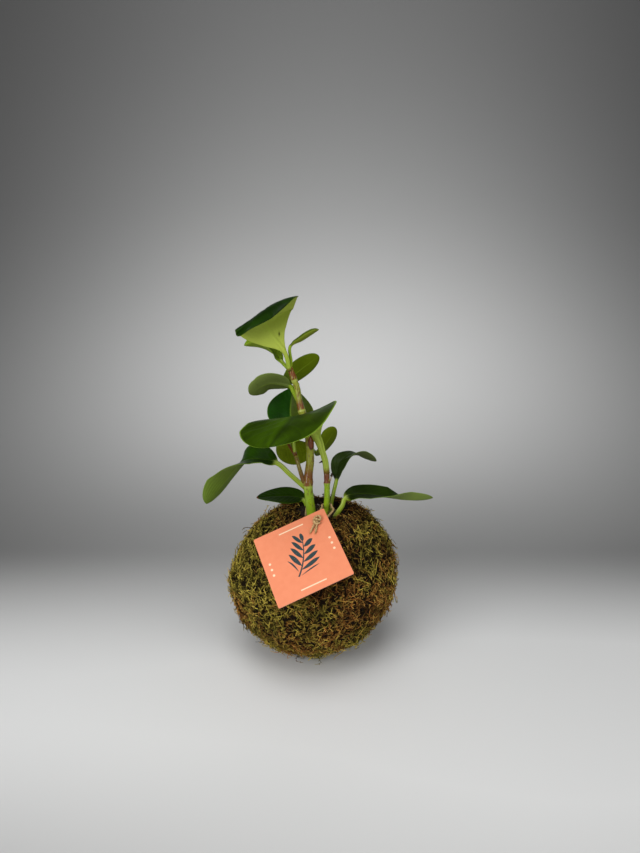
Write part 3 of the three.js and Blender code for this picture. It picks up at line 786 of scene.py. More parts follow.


# %% [markdown]
# ### What colours a leaf
#
# The upper face is a deep green with a paler midrib, faint side veins and a thin pale margin.
# The lower face is lighter, with veins that run lengthwise. The stalk has dark lengthwise lines of
# painted shade for grooves, a painted highlight on top, and is red-brown where it leaves the stem. A
# few leaves also get painted shade and light in their colours. The mesh carries three numbers for
# this: how far along the blade a point is, how far across, and which face.

# %% Leaf finish
STALK_GREEN = (146, 174, 44)
JOINT_RED = (112, 46, 18)


def tinted(colour, factor):
    """A colour of 0 to 255 as a shader reads it, made darker or lighter."""
    return tuple(min(1, c * factor) for c in linear(colour)[:3]) + (1,)


def leaf_finish(
    name, upper, lower, rib=0.2, halves=0.0, stalk=STALK_GREEN, joint=0.6,
    margin=0.3, painted_crease=0.0, shade=0.0, hem=0.0, veins=1.0, dry_tip=0.0, mark=None,
):
    """Rib is how pale the midrib is above, halves how much more olive one half of the upper face is, joint
    how red the foot of the stalk is, margin how pale the edge is, crease how strong the painted shade
    of a groove beside the midrib and the painted highlight next to it are, shade how dark the painted
    shadow on the foot of the blade is, hem how far the upper colour shows on one edge of the lower face,
    veins how clear the veins below are, and dry_tip how brown the tip is. A mark is a dark fleck below,
    at an X and a Z in millimetres."""
    finish = Finish(name)
    along = finish.attribute("along")
    signed = finish.attribute("across")
    across = abs(signed)
    is_upper = finish.attribute("upper").step(0.45, 0.55)
    cloud = finish.noise(60, 3)
    fine = finish.noise(900, 3)
    rib_line = across.bell(0.0, 0.03) * along.fade(0.5, 1.0)
    wave = ((along * VEIN_COUNT - across * VEIN_LEAN) * (2 * math.pi)).cosine()
    side_veins = wave.step(0.6, 1.0) * across.step(0.0, 0.2) * across.fade(0.7, 1.0)
    lengthwise = (across * 38 + cloud * 3).cosine() * 0.5 + 0.5
    one_edge = signed.step(0.6, 0.66) * along.step(0.52, 0.56)
    top = finish.layers(
        tinted(upper, 0.65),
        (cloud.step(0.3, 0.7), tinted(upper, 1.35)),
        (signed.step(-0.05, 0.05) * halves, (66, 78, 4)),
        (side_veins * 0.1, tinted(upper, 2.2)),
        # A painted highlight beside the midrib and painted shade in the groove next to it, by the crease
        # number.
        (signed.bell(0.12, 0.1) * painted_crease, tinted(upper, 2.4)),
        (signed.bell(-0.03, 0.06) * painted_crease, tinted(upper, 0.3)),
        (rib_line * rib, (98, 128, 30)),
    )
    blade = finish.layers(
        tinted(lower, 1.1),
        (cloud, tinted(lower, 0.8)),
        (lengthwise * 0.16 * veins, tinted(lower, 0.45)),
        (rib_line * 0.5, stalk),
        (one_edge * hem, tinted(upper, 1.6)),
        (is_upper, top),
        # A painted shadow darkens the foot of the blade, by the shade number.
        (along.fade(0.02, 0.3) * shade, (50, 56, 34)),
        (across.step(0.95, 0.99) * margin, (122, 152, 44)),
    )
    if mark:
        x, z = finish.axes("XZ")
        fleck = x.bell(mark[0] * MM, 0.6 * MM) * z.bell(mark[1] * MM, 1.4 * MM)
        blade = finish.mix(fleck * (1 - is_upper), blade, (52, 54, 14))
    blade = finish.mix(along.step(0.955, 0.98) * dry_tip, blade, (120, 70, 38))
    # Dark lengthwise lines of painted shade stand for grooves on the stalk.
    painted_groove_shade = (signed * 11 + cloud * 2).cosine().step(0.2, 1.0)
    colour = finish.layers(
        tinted(stalk, 1.15),
        (finish.noise(500, 3, finish.place((1, 1, 0.3))), tinted(stalk, 0.7)),
        (painted_groove_shade * 0.45, tinted(stalk, 0.4)),
        # A painted highlight along the top of the stalk.
        (signed.bell(0.0, 0.4) * is_upper * 0.45, (212, 226, 132)),
        (along.fade(-1.0, -0.82) * joint, JOINT_RED),
        (along.step(-0.01, 0.05) * (across + along * 1.5).step(0.02, 0.14), blade),
    )
    height = fine * 0.3 + side_veins * 0.3 + lengthwise * (1 - is_upper) * 0.3 * veins
    return finish.surface(colour, 0.55 - is_upper * 0.2 + fine * 0.08, height, 0.00016, 0.08)


# %% Leaf colours and leaves
leaf_colours = {
    # The lower faces of leaf_top and leaf_front are brightened to paint the light that shines through them.
    "leaf_top": dict(
        upper=(20, 44, 1), lower=(180, 196, 80), stalk=(176, 200, 72), rib=0, margin=0.1, hem=1, veins=0.3,
        mark=(-21.2, 227.5),
    ),
    # leaf_young_left's upper face is lightened as painted light, against the shade that falls on it.
    "leaf_young_left": dict(upper=(108, 134, 24), lower=(136, 160, 44)),
    "leaf_young_right": dict(upper=(76, 92, 12), lower=(126, 140, 40)),
    # leaf_round_right's shade paints the shadow on the foot of its blade, behind the stem.
    "leaf_round_right": dict(upper=(40, 66, 4), lower=(96, 116, 6), margin=0.5, shade=0.8, veins=0.4),
    "leaf_round_left": dict(upper=(40, 66, 6), lower=(112, 128, 62), veins=0.4),
    "leaf_back": dict(upper=(22, 62, 1), lower=(80, 100, 20), rib=0.8, halves=0.8),
    "leaf_front": dict(
        upper=(42, 64, 1), lower=(172, 196, 80), stalk=(182, 204, 84), rib=0, joint=0.8, margin=0.8,
        painted_crease=0.4,
    ),
    "leaf_small_right": dict(upper=(40, 66, 4), lower=(96, 114, 4)),
    "leaf_behind_left": dict(upper=(44, 66, 4), lower=(116, 134, 14), stalk=(122, 70, 34)),
    "leaf_drooping_left": dict(
        upper=(28, 54, 1), lower=(118, 144, 52), stalk=(150, 172, 56), joint=0.8, margin=0.5, veins=2,
    ),
    "leaf_low_left": dict(upper=(28, 50, 1), lower=(84, 104, 30), dry_tip=0.8),
    "leaf_low_right": dict(
        upper=(26, 42, 2), lower=(112, 130, 60), stalk=(150, 172, 50), margin=0.5, veins=2,
    ),
    "leaf_mid_right": dict(upper=(40, 56, 16), lower=(92, 104, 56), rib=0, joint=0.9),
}

for number, (name, leaf) in enumerate(LEAVES.items()):
    rings, along, share, face = leaf_rings(leaf, number)
    vertices, quads, triangles = close_ends(rings)
    rows, points, _ = rings.shape
    numbers = {
        "along": np.concatenate([np.repeat(along, points), [-1, 1]]),
        "across": np.concatenate([np.tile(share, rows), [0, 0]]),
        "upper": np.concatenate([np.tile(face, rows), [0.5, 0.5]]),
    }
    look = leaf_finish(name + "_skin", **leaf_colours[name])
    piece = make_piece(name + "_blade", vertices, quads, triangles, look, numbers)
    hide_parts(name)
    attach(piece, "root")

# %% [markdown]
# ## The soil ball
#
# The soil shows only in the open place round the stems: dark, crumbly, with a few white grains of
# perlite. One displaced ball would look like clay. So the ball is a grid with shallow lumps, and
# several hundred separate crumbs lie in the opening, each a small lump of its own shape.

# %% The ball's own measurements
MOSS_RADIUS = 60
MOSS_HALF_HEIGHT = 56.3
MOSS_THICKNESS = 8.5
SOIL_RADIUS = MOSS_RADIUS - MOSS_THICKNESS
SOIL_HALF_HEIGHT = MOSS_HALF_HEIGHT - MOSS_THICKNESS * 0.75
BALL_CENTRE_Z = 55.5
MOUTH_CENTRE = (5, -6)
MOUTH_RADIUS = 19


def soil_relief(d):
    """0.35 mm times the product of two waves, for a unit direction."""
    x, y, z = np.moveaxis(d, -1, 0)
    return 0.35 * np.sin(13 * x + 5 * z) * np.sin(12 * y - 7 * z + 1)


def ball_point(direction, radius, half_height, extra):
    """A squat ball: the radius plus the relief sideways, and the half height plus it upwards."""
    sideways = (radius + extra)[..., None] * direction[..., :2]
    upward = (half_height + extra) * direction[..., 2] + BALL_CENTRE_Z
    return np.concatenate([sideways, upward[..., None]], axis=-1) * MM


def globe(rows, columns):
    """Unit directions on rings from near the top to near the bottom pole."""
    polar = np.linspace(0.02, math.pi - 0.02, rows)[:, None]
    return swing(polar, UP, swing(circle(columns), EAST, NORTH))


# %% Crumbs
CRUMB_GRID = (4, 6)


def crumbs(centres, sizes, rng):
    """Lumps at the centres: small globes, stretched, with each of their points drawn in or out at random."""
    count = len(centres)
    stretch = rng.uniform(0.65, 1.2, (count, 1, 1, 3)) * rng.uniform(0.75, 1.2, (count, *CRUMB_GRID, 1))
    return join_tubes(centres[:, None, None] + globe(*CRUMB_GRID) * stretch * sizes[:, None, None, None])


def join_tubes(rings):
    """Many closed skins in one set of arrays, from rings (m, n, k, 3)."""
    count, rows, sides, _ = rings.shape
    ends = np.stack([rings[:, 0].mean(axis=1), rings[:, -1].mean(axis=1)], axis=1)
    vertices = np.concatenate([rings.reshape(count, -1, 3), ends], axis=1)
    _, quads, triangles = close_ends(rings[0])
    offset = (np.arange(count) * (rows * sides + 2))[:, None, None]
    return vertices.reshape(-1, 3), (quads + offset).reshape(-1, 4), (triangles + offset).reshape(-1, 3)


# %% Soil finish and soil
def soil_finish():
    """Dark and crumbly, damp in places, and white where the number called pale is 1."""
    finish = Finish("soil_crumbs")
    grain = finish.noise(1400, 4)
    damp = finish.noise(220, 2)
    colour = finish.layers(
        (26, 18, 12),
        (grain.step(0.35, 0.7), (74, 54, 36)),
        (damp.step(0.5, 0.75) * 0.5, (38, 26, 18)),
        (finish.attribute("pale"), (214, 206, 190)),
    )
    return finish.surface(colour, 0.95 - damp * 0.2, grain, 0.0006)


CRUMB_COUNT = 900
PERLITE_COUNT = 9
rng = np.random.default_rng(11)
directions = globe(90, 140)
soil_ball = close_ends(ball_point(directions, SOIL_RADIUS, SOIL_HALF_HEIGHT, soil_relief(directions)))


def scatter_in_mouth(count, spare):
    """Random places evenly over the opening's disc, dropped on the soil ball."""
    reach = (MOUTH_RADIUS + spare) * np.sqrt(rng.uniform(0, 1, count))
    turn = rng.uniform(0, 2 * math.pi, count)
    x, y = MOUTH_CENTRE[0] + reach * np.cos(turn), MOUTH_CENTRE[1] + reach * np.sin(turn)
    z = BALL_CENTRE_Z + SOIL_HALF_HEIGHT * np.sqrt(1 - (x**2 + y**2) / SOIL_RADIUS**2)
    return np.stack([x, y, z], axis=1) * MM


crumb_places = scatter_in_mouth(CRUMB_COUNT, 1.5)
crumb_sizes = rng.uniform(0.35, 1.25, CRUMB_COUNT) ** 1.4 * MM
seen_grains = np.array([[4.3, 9.5, 104.2], [5.6, 8.2, 104.6], [5.0, 7.0, 104.5]]) * MM
grain_places = np.concatenate([seen_grains, scatter_in_mouth(PERLITE_COUNT, -1)])
grain_sizes = np.concatenate([[1.1, 0.8, 0.7], rng.uniform(0.4, 0.75, PERLITE_COUNT)]) * MM
parts = [soil_ball, crumbs(crumb_places, crumb_sizes, rng), crumbs(grain_places, grain_sizes, rng)]
vertices, quads, triangles = join_parts(parts)
pale = np.repeat([0.0, 0.0, 1.0], [len(part[0]) for part in parts])
soil = make_piece("soil_and_crumbs", vertices, quads, triangles, soil_finish(), {"pale": pale})
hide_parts("soil_ball")
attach(soil, "root")

# %% [markdown]
# ## The moss
#
# Sheet moss is thousands of short curly sprigs over a mat, which is painted nearly black as the shade
# deep among them. Particle hair would be the quick way, but hair is left out when a model is exported.
# So the mat is one closed shell with lumps on it, and the sprigs are real meshes: a bent three-sided
# stem with tiny leaflets on both sides. They are worked out all at once, as arrays, with a few dozen faces
# each.

# %% The mat
RIM_ANGLE = math.asin(MOUTH_RADIUS / MOSS_RADIUS)
MAT_ROWS = 130
MAT_COLUMNS = 240
MAT_INSET = 2.5
MAT_THICKNESS = MOSS_THICKNESS - 1.5
POLE_ANGLE = math.pi - 0.015
LIP_STEPS = 9
mouth_axis = np.array([MOUTH_CENTRE[0] / MOSS_RADIUS, MOUTH_CENTRE[1] / MOSS_RADIUS, 0])
mouth_axis[2] = math.sqrt(1 - mouth_axis @ mouth_axis)
mouth_side, mouth_front = square_to(mouth_axis, NORTH)


def moss_inset(d):
    """How far the mat lies under the frame's surface: a few plain terms in X and Z, so that it is deep at
    the upper left and round the foot, shallow at the upper right, and nothing where the ball rests."""
    x, z = d[..., 0], d[..., 2]
    below = np.maximum(-z, 0)
    inset = MAT_INSET - 1.4 * x - 4.2 * x * z - 0.4 * z + 8 * (1 - z**2) * below**3
    return inset * (1 - below**14)


def tuft_waves(d):
    """A product of three waves that cross, about a centimetre long, from -1 to 1."""
    x, y, z = np.moveaxis(d, -1, 0)
    return np.sin(31 * x + 17 * y + 5) * np.sin(29 * y - 23 * z + 2) * np.sin(27 * z + 19 * x + 1)


def moss_relief(d):
    """Broad lumps of 0.8 mm, as products of waves, and small tufts of 2 mm, for a unit direction."""
    x, y, z = np.moveaxis(d, -1, 0)
    lumps = np.sin(5.1 * x + 2.3 * z + 0.7) * np.sin(4.3 * y - 3.1 * z + 1.9)
    return 0.8 * (lumps + 0.6 * np.sin(7.7 * z + 3.9 * x - 1.2)) + 2.0 * tuft_waves(d)


def mat_shell():
    """From the bottom pole up the outside to the rim, over a rounded lip and back inside: a profile of
    angle and depth carried round the opening's axis. The rim's radius wanders with three waves."""
    turn = circle(MAT_COLUMNS)[None, :]
    wander = 0.05 * np.sin(3 * turn + 1) + 0.035 * np.sin(7 * turn) + 0.02 * np.sin(13 * turn + 2)
    rim = RIM_ANGLE * (1 + wander)
    lip = np.linspace(0, math.pi, LIP_STEPS)[1:-1, None]
    outside = POLE_ANGLE - (POLE_ANGLE - rim) * np.linspace(0, 1, MAT_ROWS)[:, None]
    back = outside[::-4]
    polar = np.concatenate([outside, rim - 0.035 * np.sin(lip), back])
    over = MAT_THICKNESS * (1 - np.cos(lip)) / 2
    depth = np.concatenate([np.zeros((MAT_ROWS, 1)), over, np.full((len(back), 1), MAT_THICKNESS)])
    direction = swing(polar, mouth_axis, swing(turn, mouth_side, mouth_front))
    inset = moss_inset(direction) + depth
    relief = moss_relief(direction) * (depth < 1)
    points = ball_point(direction, MOSS_RADIUS - inset, MOSS_HALF_HEIGHT - inset, relief)
    points[..., 2] = np.maximum(points[..., 2], (depth > 1) * 1.0 * MM)
    return points


MOSS_PATCHES = [
    (-0.75, 0.25, 0.4, 0.9), (0.68, 0.6, 0.2, 0.9), (0.05, -0.9, 0.16, 0.7), (0.95, 0.05, 0.14, 0.6),
    (0.55, -0.55, 0.2, 0.6), (-0.6, -0.45, 0.16, 0.5), (0.45, 0.05, 0.22, -0.5), (0.3, -0.38, 0.2, -0.6),
    (-0.1, -0.66, 0.16, -0.5), (-0.25, 0.75, 0.2, -0.5), (0.35, 0.76, 0.12, -0.6), (-0.85, -0.2, 0.14, -0.6),
]


def moss_lean(d):
    """Greener where it is over 0 and browner below: bells at an X and a Z, with a reach and a strength."""
    return sum(
        strength * bell(np.hypot(d[..., 0] - x, d[..., 2] - z), 0, reach)
        for x, z, reach, strength in MOSS_PATCHES
    )


def moss_finish():
    """Nearly black in the depth as painted shade, brown to olive by region and by sprig, paler tips, and
    darker at the rim.
    """
    finish = Finish("moss_sprigs")
    tone, hue, tip, rim, lean = map(finish.attribute, ("tone", "hue", "tip", "rim", "lean"))
    region = finish.noise(26, 3, finish.place((1, 1, 1.2)), 0.6)
    clumps = finish.noise(110, 2)
    side, = finish.axes("X")
    green = region * 0.8 + clumps * 0.5 + (hue - 0.5) * 0.3 + lean * 0.26 - side * 0.6
    brown = finish.mix(tone, (34, 16, 5), (220, 146, 70))
    olive = finish.mix(tone, (44, 40, 5), (232, 212, 88))
    colour = finish.layers(
        brown,
        (green.step(0.52, 0.84) * (1 - rim * 0.7), olive),
        (rim * 0.5, (30, 18, 8)),
        # Painted shade: the lower part of each sprig is nearly black.
        (tip.fade(0.05, 0.75) * 0.97, (12, 7, 3)),
        (tip.step(0.7, 1.0) * tone * 0.9, (238, 210, 104)),
    )
    return finish.surface(colour, 0.85, specular=0.1)


MOSS_LOOK = moss_finish()
vertices, quads, triangles = close_ends(mat_shell())
# The mat gets a low tone and tip, which paints it nearly black as the shade deep among the sprigs.
low_numbers = {"tone": np.full(len(vertices), 0.2), "tip": np.full(len(vertices), 0.05)}
mat = make_piece("moss_mat", vertices, quads, triangles, MOSS_LOOK, low_numbers)
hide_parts("moss_wrap")
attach(mat, "root")

# %% [markdown]
# ### Sprigs
#
# The roots of the sprigs lie on a Fibonacci spiral, which covers a ball evenly without rows. Each
# sprig leaves the mat in its own direction, arches, curls sideways and comes back down. Sprigs
# behind the tag are pressed flat by it, and none reaches below the floor.

# %% Roots and clearances
TAG_SIDE = 50
TAG_CENTRE = np.array([-5.4, -52.2, 90.3])
TAG_ACROSS = unit(np.array([0.911, 0.15, 0.383]))
TAG_NORMAL = unit(np.cross(TAG_ACROSS, (-0.368, 0.714, 0.596)))
TAG_UP = np.cross(TAG_NORMAL, TAG_ACROSS)
TAG_BASIS = np.stack([TAG_ACROSS, TAG_UP, TAG_NORMAL])
TAG_MARGIN = 1.2
TAG_CLEARANCE = 0.9
FLOOR_CLEARANCE = 0.2


def spiral_directions(count):
    """Point k at height 1 - (2k + 1)/count, turned by k golden angles."""
    k = np.arange(count)
    height = 1 - (2 * k + 1) / count
    turn = k * math.pi * (3 - math.sqrt(5))
    flat = np.sqrt(1 - height**2)
    return np.stack([flat * np.cos(turn), flat * np.sin(turn), height], axis=1)


def keep_clear(points):
    """Points pressed behind the tag where they lie in front of it, and lifted to the floor."""
    local = (points / MM - TAG_CENTRE) @ TAG_BASIS.T
    margin = np.clip(TAG_SIDE / 2 + TAG_MARGIN - np.abs(local[..., :2]).max(axis=-1), 0, 1)
    push = np.maximum(local[..., 2] + TAG_CLEARANCE, 0) * margin
    points = points - push[..., None] * TAG_NORMAL * MM
    points[..., 2] = np.maximum(points[..., 2], FLOOR_CLEARANCE * MM)
    return points


# %% One arch for each sprig
AXIS_STEPS = 6


def sprig_axes(roots, normals, lengths, rng):
    """Middle lines (m, n, 3). Forward by the length, up by lift s minus droop s squared, and sideways by
    a wave whose size and phase are the sprig's own."""
    count = len(roots)
    x, y, z = normals.T
    flow = 2.2 * np.sin(4 * x + 3 * z) + 2.5 * np.cos(5 * y - 4 * x)
    east, north = square_to(normals, (0.31, 0.17, 0.93))
    ahead = swing(flow + rng.normal(0, 1.1, count), east, north)
    beside = np.cross(normals, ahead)
    own = (count, 1, 1)
    s = np.linspace(0, 1, AXIS_STEPS)[None, :, None]
    lift = rng.uniform(0.3, 1.05, own)
    droop = rng.uniform(0.25, 0.95, own) * lift
    curl = rng.normal(0, 0.34, own)
    phase = rng.uniform(0, 2 * math.pi, own)
    forward = rng.uniform(0.45, 0.95, own) * s
    sideways = curl * (np.sin(4.5 * s + phase) - np.sin(phase))
    upward = lift * s - droop * s**2 + 0.06 * np.sin(9 * s + phase)
    line = forward * ahead[:, None] + sideways * beside[:, None] + upward * normals[:, None]
    return roots[:, None] + lengths[:, None, None] * line, beside


def thin_tubes(paths, radii, sides, reference):
    """Tubes (m, n, k, 3) along paths. Each ring is square to its path and starts square to the reference."""
    reach = np.repeat(radii[..., None], sides, axis=-1)
    return rings_round(paths, unit(np.gradient(paths, axis=1)), reference, reach)


# %% Leaflets
LEAFLETS = 8
LEAFLET_PLACES = np.linspace(0.16, 0.9, LEAFLETS)
DART_FACES = np.array([[0, 1, 2], [0, 3, 1], [1, 3, 2], [2, 3, 0]])


def leaflets(paths, lengths, beside, rng):
    """Slim closed darts, in pairs along each path: a three-cornered base on the path, and a tip that
    points sideways, a little forwards, and up or down at random."""
    count = len(paths)
    at = LEAFLET_PLACES * (AXIS_STEPS - 1)
    index = np.minimum(at.astype(int), AXIS_STEPS - 2)
    base = paths[:, index] + (at - index)[None, :, None] * (paths[:, index + 1] - paths[:, index])
    ahead = unit(paths[:, index + 1] - paths[:, index])
    side = beside[:, None] * np.where(np.arange(LEAFLETS) % 2, 1, -1)[None, :, None]
    size = lengths[:, None, None] * rng.uniform(0.12, 0.22, (count, LEAFLETS, 1))
    lift = rng.normal(0, 0.35, (count, LEAFLETS, 1)) * np.cross(ahead, side)
    tip = base + size * unit(0.6 * ahead + side + lift)
    wide = size * 0.17
    up = unit(np.cross(ahead, side))
    corners = np.stack([base - wide * ahead, base + wide * ahead, base + 0.7 * wide * up, tip], axis=2)
    vertices = corners.reshape(-1, 3)
    first, second, third, top = (vertices[corner::4] for corner in range(4))
    flip = np.einsum("ij,ij->i", np.cross(second - first, third - first), top - first) > 0
    triangles = np.arange(count * LEAFLETS)[:, None, None] * 4 + DART_FACES
    triangles[flip] = triangles[flip][..., ::-1]
    return vertices, triangles.reshape(-1, 3)


# %% Grow the sprigs
SPRIG_COUNT = 19000
SPRIG_PIECES = 8
SPRIG_SIDES = 3
SPRIG_LENGTHS = (3.6, 7.8)
STEM_REACH = 0.3
ROOT_DEPTH = 0.9


def from_mouth(directions):
    """Angles between unit directions and the middle of the opening."""
    return np.arccos(np.clip(directions @ mouth_axis, -1, 1))


def sprig_arrays(directions, rng):
    """Vertices, quads, triangles and numbers of the sprigs that grow at these directions. About one in a
    hundred is half as long again as the others."""
    count = len(directions)
    inset = moss_inset(directions) + ROOT_DEPTH
    roots = ball_point(directions, MOSS_RADIUS - inset, MOSS_HALF_HEIGHT - inset, moss_relief(directions))
    lengths = rng.uniform(*SPRIG_LENGTHS, count) * (1 + 0.5 * (rng.uniform(0, 1, count) > 0.99)) * MM
    paths, beside = sprig_axes(roots, directions, lengths, rng)
    thin = np.linspace(1, 0.55, AXIS_STEPS)[None, :] * rng.uniform(0.7, 1.2, (count, 1)) * STEM_REACH * MM
    rings = keep_clear(thin_tubes(paths, thin, SPRIG_SIDES, directions[:, None]))
    stem_vertices, quads, stem_triangles = join_tubes(rings)
    dart_vertices, dart_triangles = leaflets(paths, lengths, beside, rng)
    vertices = np.concatenate([stem_vertices, keep_clear(dart_vertices)])
    triangles = np.concatenate([stem_triangles, dart_triangles + len(stem_vertices)])
    stem_tip = np.concatenate([np.repeat(np.linspace(0, 1, AXIS_STEPS), SPRIG_SIDES), [0, 1]])
    at = LEAFLET_PLACES
    dart_tip = np.stack([at, at, at, np.minimum(at + 0.25, 1)], axis=1).ravel()

    def for_points(values):
        """Each sprig's value for all points of its stem, and then of its leaflets."""
        return np.concatenate([np.repeat(values, len(stem_tip)), np.repeat(values, len(dart_tip))])

    # Sprigs in the hollows between tufts get a lower tone as painted shade; the rest of the tone is random.
    crest = np.clip(0.5 + 1.6 * tuft_waves(directions) + rng.normal(0, 0.2, count), 0, 1)
    numbers = {
        "tone": for_points(rng.uniform(0, 1, count) * (0.35 + 0.65 * crest)),
        "hue": for_points(rng.uniform(0, 1, count)),
        "tip": np.concatenate([np.tile(stem_tip, count), np.tile(dart_tip, count)]),
        "rim": for_points(bell(from_mouth(directions) - RIM_ANGLE, 0, 0.2)),
        "lean": for_points(moss_lean(directions)),
    }
    return vertices, quads, triangles, numbers


rng = np.random.default_rng(29)
directions = unit(spiral_directions(SPRIG_COUNT) + rng.normal(0, 0.006, (SPRIG_COUNT, 3)))
directions = directions[from_mouth(directions) > RIM_ANGLE * rng.uniform(0.93, 1.06, SPRIG_COUNT)]
sector = ((np.arctan2(directions[:, 1], directions[:, 0]) / (2 * math.pi)) % 1 * SPRIG_PIECES).astype(int)
for number in range(SPRIG_PIECES):
    vertices, quads, triangles, numbers = sprig_arrays(directions[sector == number], rng)
    sprigs = make_piece(f"moss_sprigs_{number + 1}", vertices, quads, triangles, MOSS_LOOK, numbers)
    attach(sprigs, "root")

# %% [markdown]
# ## The tag
#
# The card is a plain square with a punched hole, and its solid is right as it is, so it only gets
# a material. The print is worked out in the shader, in millimetres on the card: cream rules and
# dots, and a dark green sprig whose leaves repeat along its stem. Dividing the distance along
# the stem by the leaf spacing and keeping the remainder draws all leaves with one formula.

# %% The printed card
CARD_CORAL = (232, 134, 95)
INK_DARK = (34, 60, 64)
INK_CREAM = (252, 224, 190)
SPRIG_TILT = math.radians(24)
SPRIG_HALF = 13.5
LEAF_SPACING = 5.2
PRINT_REACH = 20.6
DOT_SPACING = 4


def printed_sprig(x, y):
    """A bent stem, leaves on both its sides whose half-width is a parabola of the share of their
    length, half a spacing apart to left and right, and one leaf at the tip."""
    across = x * math.cos(SPRIG_TILT) - y * math.sin(SPRIG_TILT)
    up = x * math.sin(SPRIG_TILT) + y * math.cos(SPRIG_TILT)
    across = across + up**2 * 0.012 - 1.0
    reach = abs(across)
    leaf_place = up - reach * 0.8 + across.sign() * (LEAF_SPACING / 4)
    cell = abs(leaf_place % LEAF_SPACING - LEAF_SPACING / 2)
    share = (reach / (10.2 - up * 0.28)).at_most(1.0)
    leaf = cell.inside(share * (1 - share) * 7.4 - 0.02) * abs(leaf_place + 1.5).inside(SPRIG_HALF - 2.5)
    stem = reach.inside(0.4 - up * 0.012) * abs(up).inside(SPRIG_HALF)
    tip = (((across / 1.3) ** 2 + ((up - SPRIG_HALF + 0.4) / 2.6) ** 2) ** 0.5).inside(1.0)
    return (leaf + stem + tip).at_most(1.0)


def printed_rules(x, y):
    """Two short rules near the upper and lower edges, and three dots near each side edge."""
    rules = abs(abs(y) - PRINT_REACH).inside(0.4) * abs(x).inside(8.5)
    row = abs((y + DOT_SPACING / 2) % DOT_SPACING - DOT_SPACING / 2)
    dots = (((abs(x) - PRINT_REACH) ** 2 + row**2) ** 0.5).inside(0.8) * abs(y).inside(DOT_SPACING * 1.5)
    return (rules + dots).at_most(1.0)


def tag_finish():
    """Card with soft fibres and pale cut edges, and the slightly worn print on its front only."""
    finish = Finish("printed_card")
    sockets = {
        "Vector": finish.node("TexCoord", output="Object"),
        "Location": TAG_CENTRE * MM,
        "Rotation": Matrix(TAG_BASIS.T.tolist()).to_euler(),
        "Scale": (MM, MM, MM),
    }
    x, y, z = finish.axes(point=finish.node("Mapping", {"vector_type": "TEXTURE"}, sockets))
    paper = finish.noise(1500, 4)
    ink = z.step(0.2, 0.3) * (1 - paper.step(0.62, 0.75) * 0.35)
    card = finish.layers(
        CARD_CORAL,
        (finish.noise(260, 3), (240, 147, 107)),
        (abs(z).fade(0.28, 0.34) * 0.5, (252, 190, 160)),
        (printed_rules(x, y) * ink * 0.9, INK_CREAM),
        (printed_sprig(x, y) * ink, INK_DARK),
    )
    return finish.surface(card, 0.6 + paper * 0.15, paper, 0.00004, 0.35)


tag_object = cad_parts["tag"]
tag_object.data.materials.clear()
tag_object.data.materials.append(tag_finish())

# %% [markdown]
# ## The twine
#
# Jute twine is three yarns laid round each other, with loose hairs all over. A plain tube with a
# bump would look like wire, so each yarn is a tube of its own, whose path turns round the
# middle of the twine. It goes once round the second stem, both ends come out through the hole,
# and they are knotted on the front of the card.

# %% Where the twine runs
TWINE_OFFSET = 0.33
YARN_RADIUS = 0.36
LAY_LENGTH = 2.6
YARN_STEP = 0.22
YARN_COUNT, YARN_SIDES = 3, 7
HAIR_RADIUS = 0.045
HAIR_STEPS, HAIR_SIDES = 5, 3
HOLE_X, HOLE_Y = 18, 18.7
STRAND = 0.85
FRONT = 1.25


def by_hole(places, height=0.0):
    """Places in the frame from places x across and y up from the tag's hole, and z over the height."""
    return [TAG_CENTRE + (np.array(place) + (HOLE_X, HOLE_Y, height)) @ TAG_BASIS for place in places]


loop = [
    *by_hole([(STRAND, 0, FRONT + 0.6), (STRAND, 0, -1.4), (5, 0.2, -2.2)]),
    (14.6, -20.5, 110.2), (13.9, -13, 110.4), (13.3, -8.2, 110.8), (10.3, -6.7, 110.8), (7.2, -9, 110.4),
    (7.3, -14, 110.6), (6.4, -24, 112.2),
    *by_hole([(-STRAND, 2.5, -2.4), (-STRAND, 0, -1.4), (-STRAND, 0, FRONT + 0.6)]),
]
knot = by_hole([
    (-2.8, -1.2, 0.6), (-0.6, 1.6, 1.1), (2.4, 1.2, 1.1), (1.8, -1.6, 1.3), (-1.6, 0.6, 1.9),
    (-1.8, -2.6, 1), (1, -3.2, 0.6),
], FRONT)
left_tail = by_hole([(-0.6, 0, 0.6), (-3.2, -2.6, 0.2), (-7.1, -6.3, 0)], FRONT)
right_tail = by_hole([(0, -0.6, 0.6), (-1.6, -3.6, 0.2), (-4.1, -7.8, 0)], FRONT)


# %% Yarns and hairs
def yarns(points, reference):
    """Three tubes whose paths turn round the route once in each lay length, a third of a turn apart."""
    length = lengths_along(points)[-1]
    share = np.linspace(0, 1, int(length / (YARN_STEP * MM)))
    centre, ahead = route_at(points, share)
    first = np.arange(YARN_COUNT)[:, None] / YARN_COUNT
    turn = 2 * math.pi * (share[None] * length / (LAY_LENGTH * MM) + first)
    out = swing(turn, *square_to(ahead, reference))
    paths = centre[None] + TWINE_OFFSET * MM * out
    return join_tubes(thin_tubes(paths, np.full(paths.shape[:2], YARN_RADIUS * MM), YARN_SIDES, out))


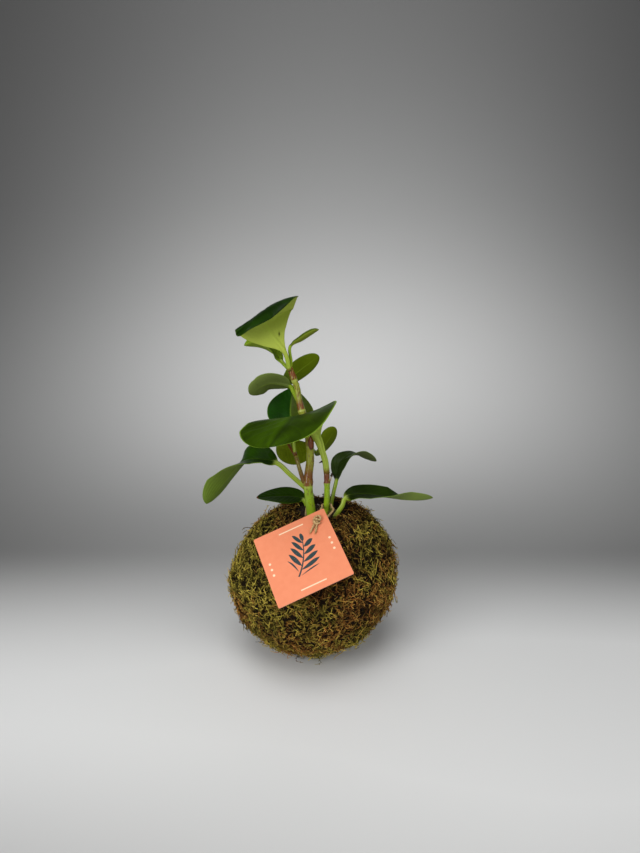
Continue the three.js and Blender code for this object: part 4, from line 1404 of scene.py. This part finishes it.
def hairs(starts, directions, lengths, rng):
    """Thin three-sided tubes that leave in a direction and bend a little at random."""
    s = np.linspace(0, 1, HAIR_STEPS)[None, :, None]
    bend = rng.normal(0, 0.35, (len(starts), 1, 3))
    paths = starts[:, None] + lengths[:, None, None] * (directions[:, None] * s + bend * s**2)
    radii = np.full(paths.shape[:2], HAIR_RADIUS * MM) * np.linspace(1, 0.5, HAIR_STEPS)[None]
    return join_tubes(thin_tubes(paths, radii, HAIR_SIDES, (0.2, 0.3, 0.9)))


def loose_hairs(points, count, rng):
    """Hairs from random places on a strand, mostly along it and leaning outwards."""
    centre, ahead = route_at(points, np.sort(rng.uniform(0, 1, count)))
    out = unit(rng.normal(0, 1, (count, 3)))
    directions = unit(ahead * rng.choice([-0.7, 0.7], (count, 1)) + out)
    return hairs(centre + out * 0.4 * MM, directions, rng.uniform(0.8, 2.4, count) * MM, rng)


def frayed_end(points, count, rng):
    """Hairs that fan out from the last millimetre of a tail."""
    centre, ahead = route_at(points, rng.uniform(0.9, 1, count))
    directions = unit(ahead + rng.normal(0, 0.28, (count, 3)))
    starts = centre + rng.normal(0, 0.22, (count, 3)) * MM
    return hairs(starts, directions, rng.uniform(0.8, 2.2, count) * MM, rng)


def jute_finish():
    """Pale and dark strands, darker over broad stretches."""
    finish = Finish("jute_yarn")
    strands = finish.noise(1300, 4)
    colour = finish.layers(
        (166, 130, 82),
        (strands.step(0.3, 0.7), (232, 202, 150)),
        (finish.noise(260, 2) * 0.4, (178, 144, 94)),
    )
    return finish.surface(colour, 0.9, strands, 0.00012, 0.2)


FRAY_COUNT = 26
rng = np.random.default_rng(5)
strands = [(loop, UP, 130), (knot, TAG_NORMAL, 90), (left_tail, TAG_NORMAL, 50), (right_tail, TAG_NORMAL, 50)]
parts = [yarns(points, reference) for points, reference, _ in strands]
parts += [loose_hairs(points, count, rng) for points, _, count in strands]
parts += [frayed_end(tail, FRAY_COUNT, rng) for tail in (left_tail, right_tail)]
vertices, quads, triangles = join_parts(parts)
twine = make_piece("twine_yarns", vertices, quads, triangles, jute_finish())
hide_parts("twine")
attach(twine, "root")
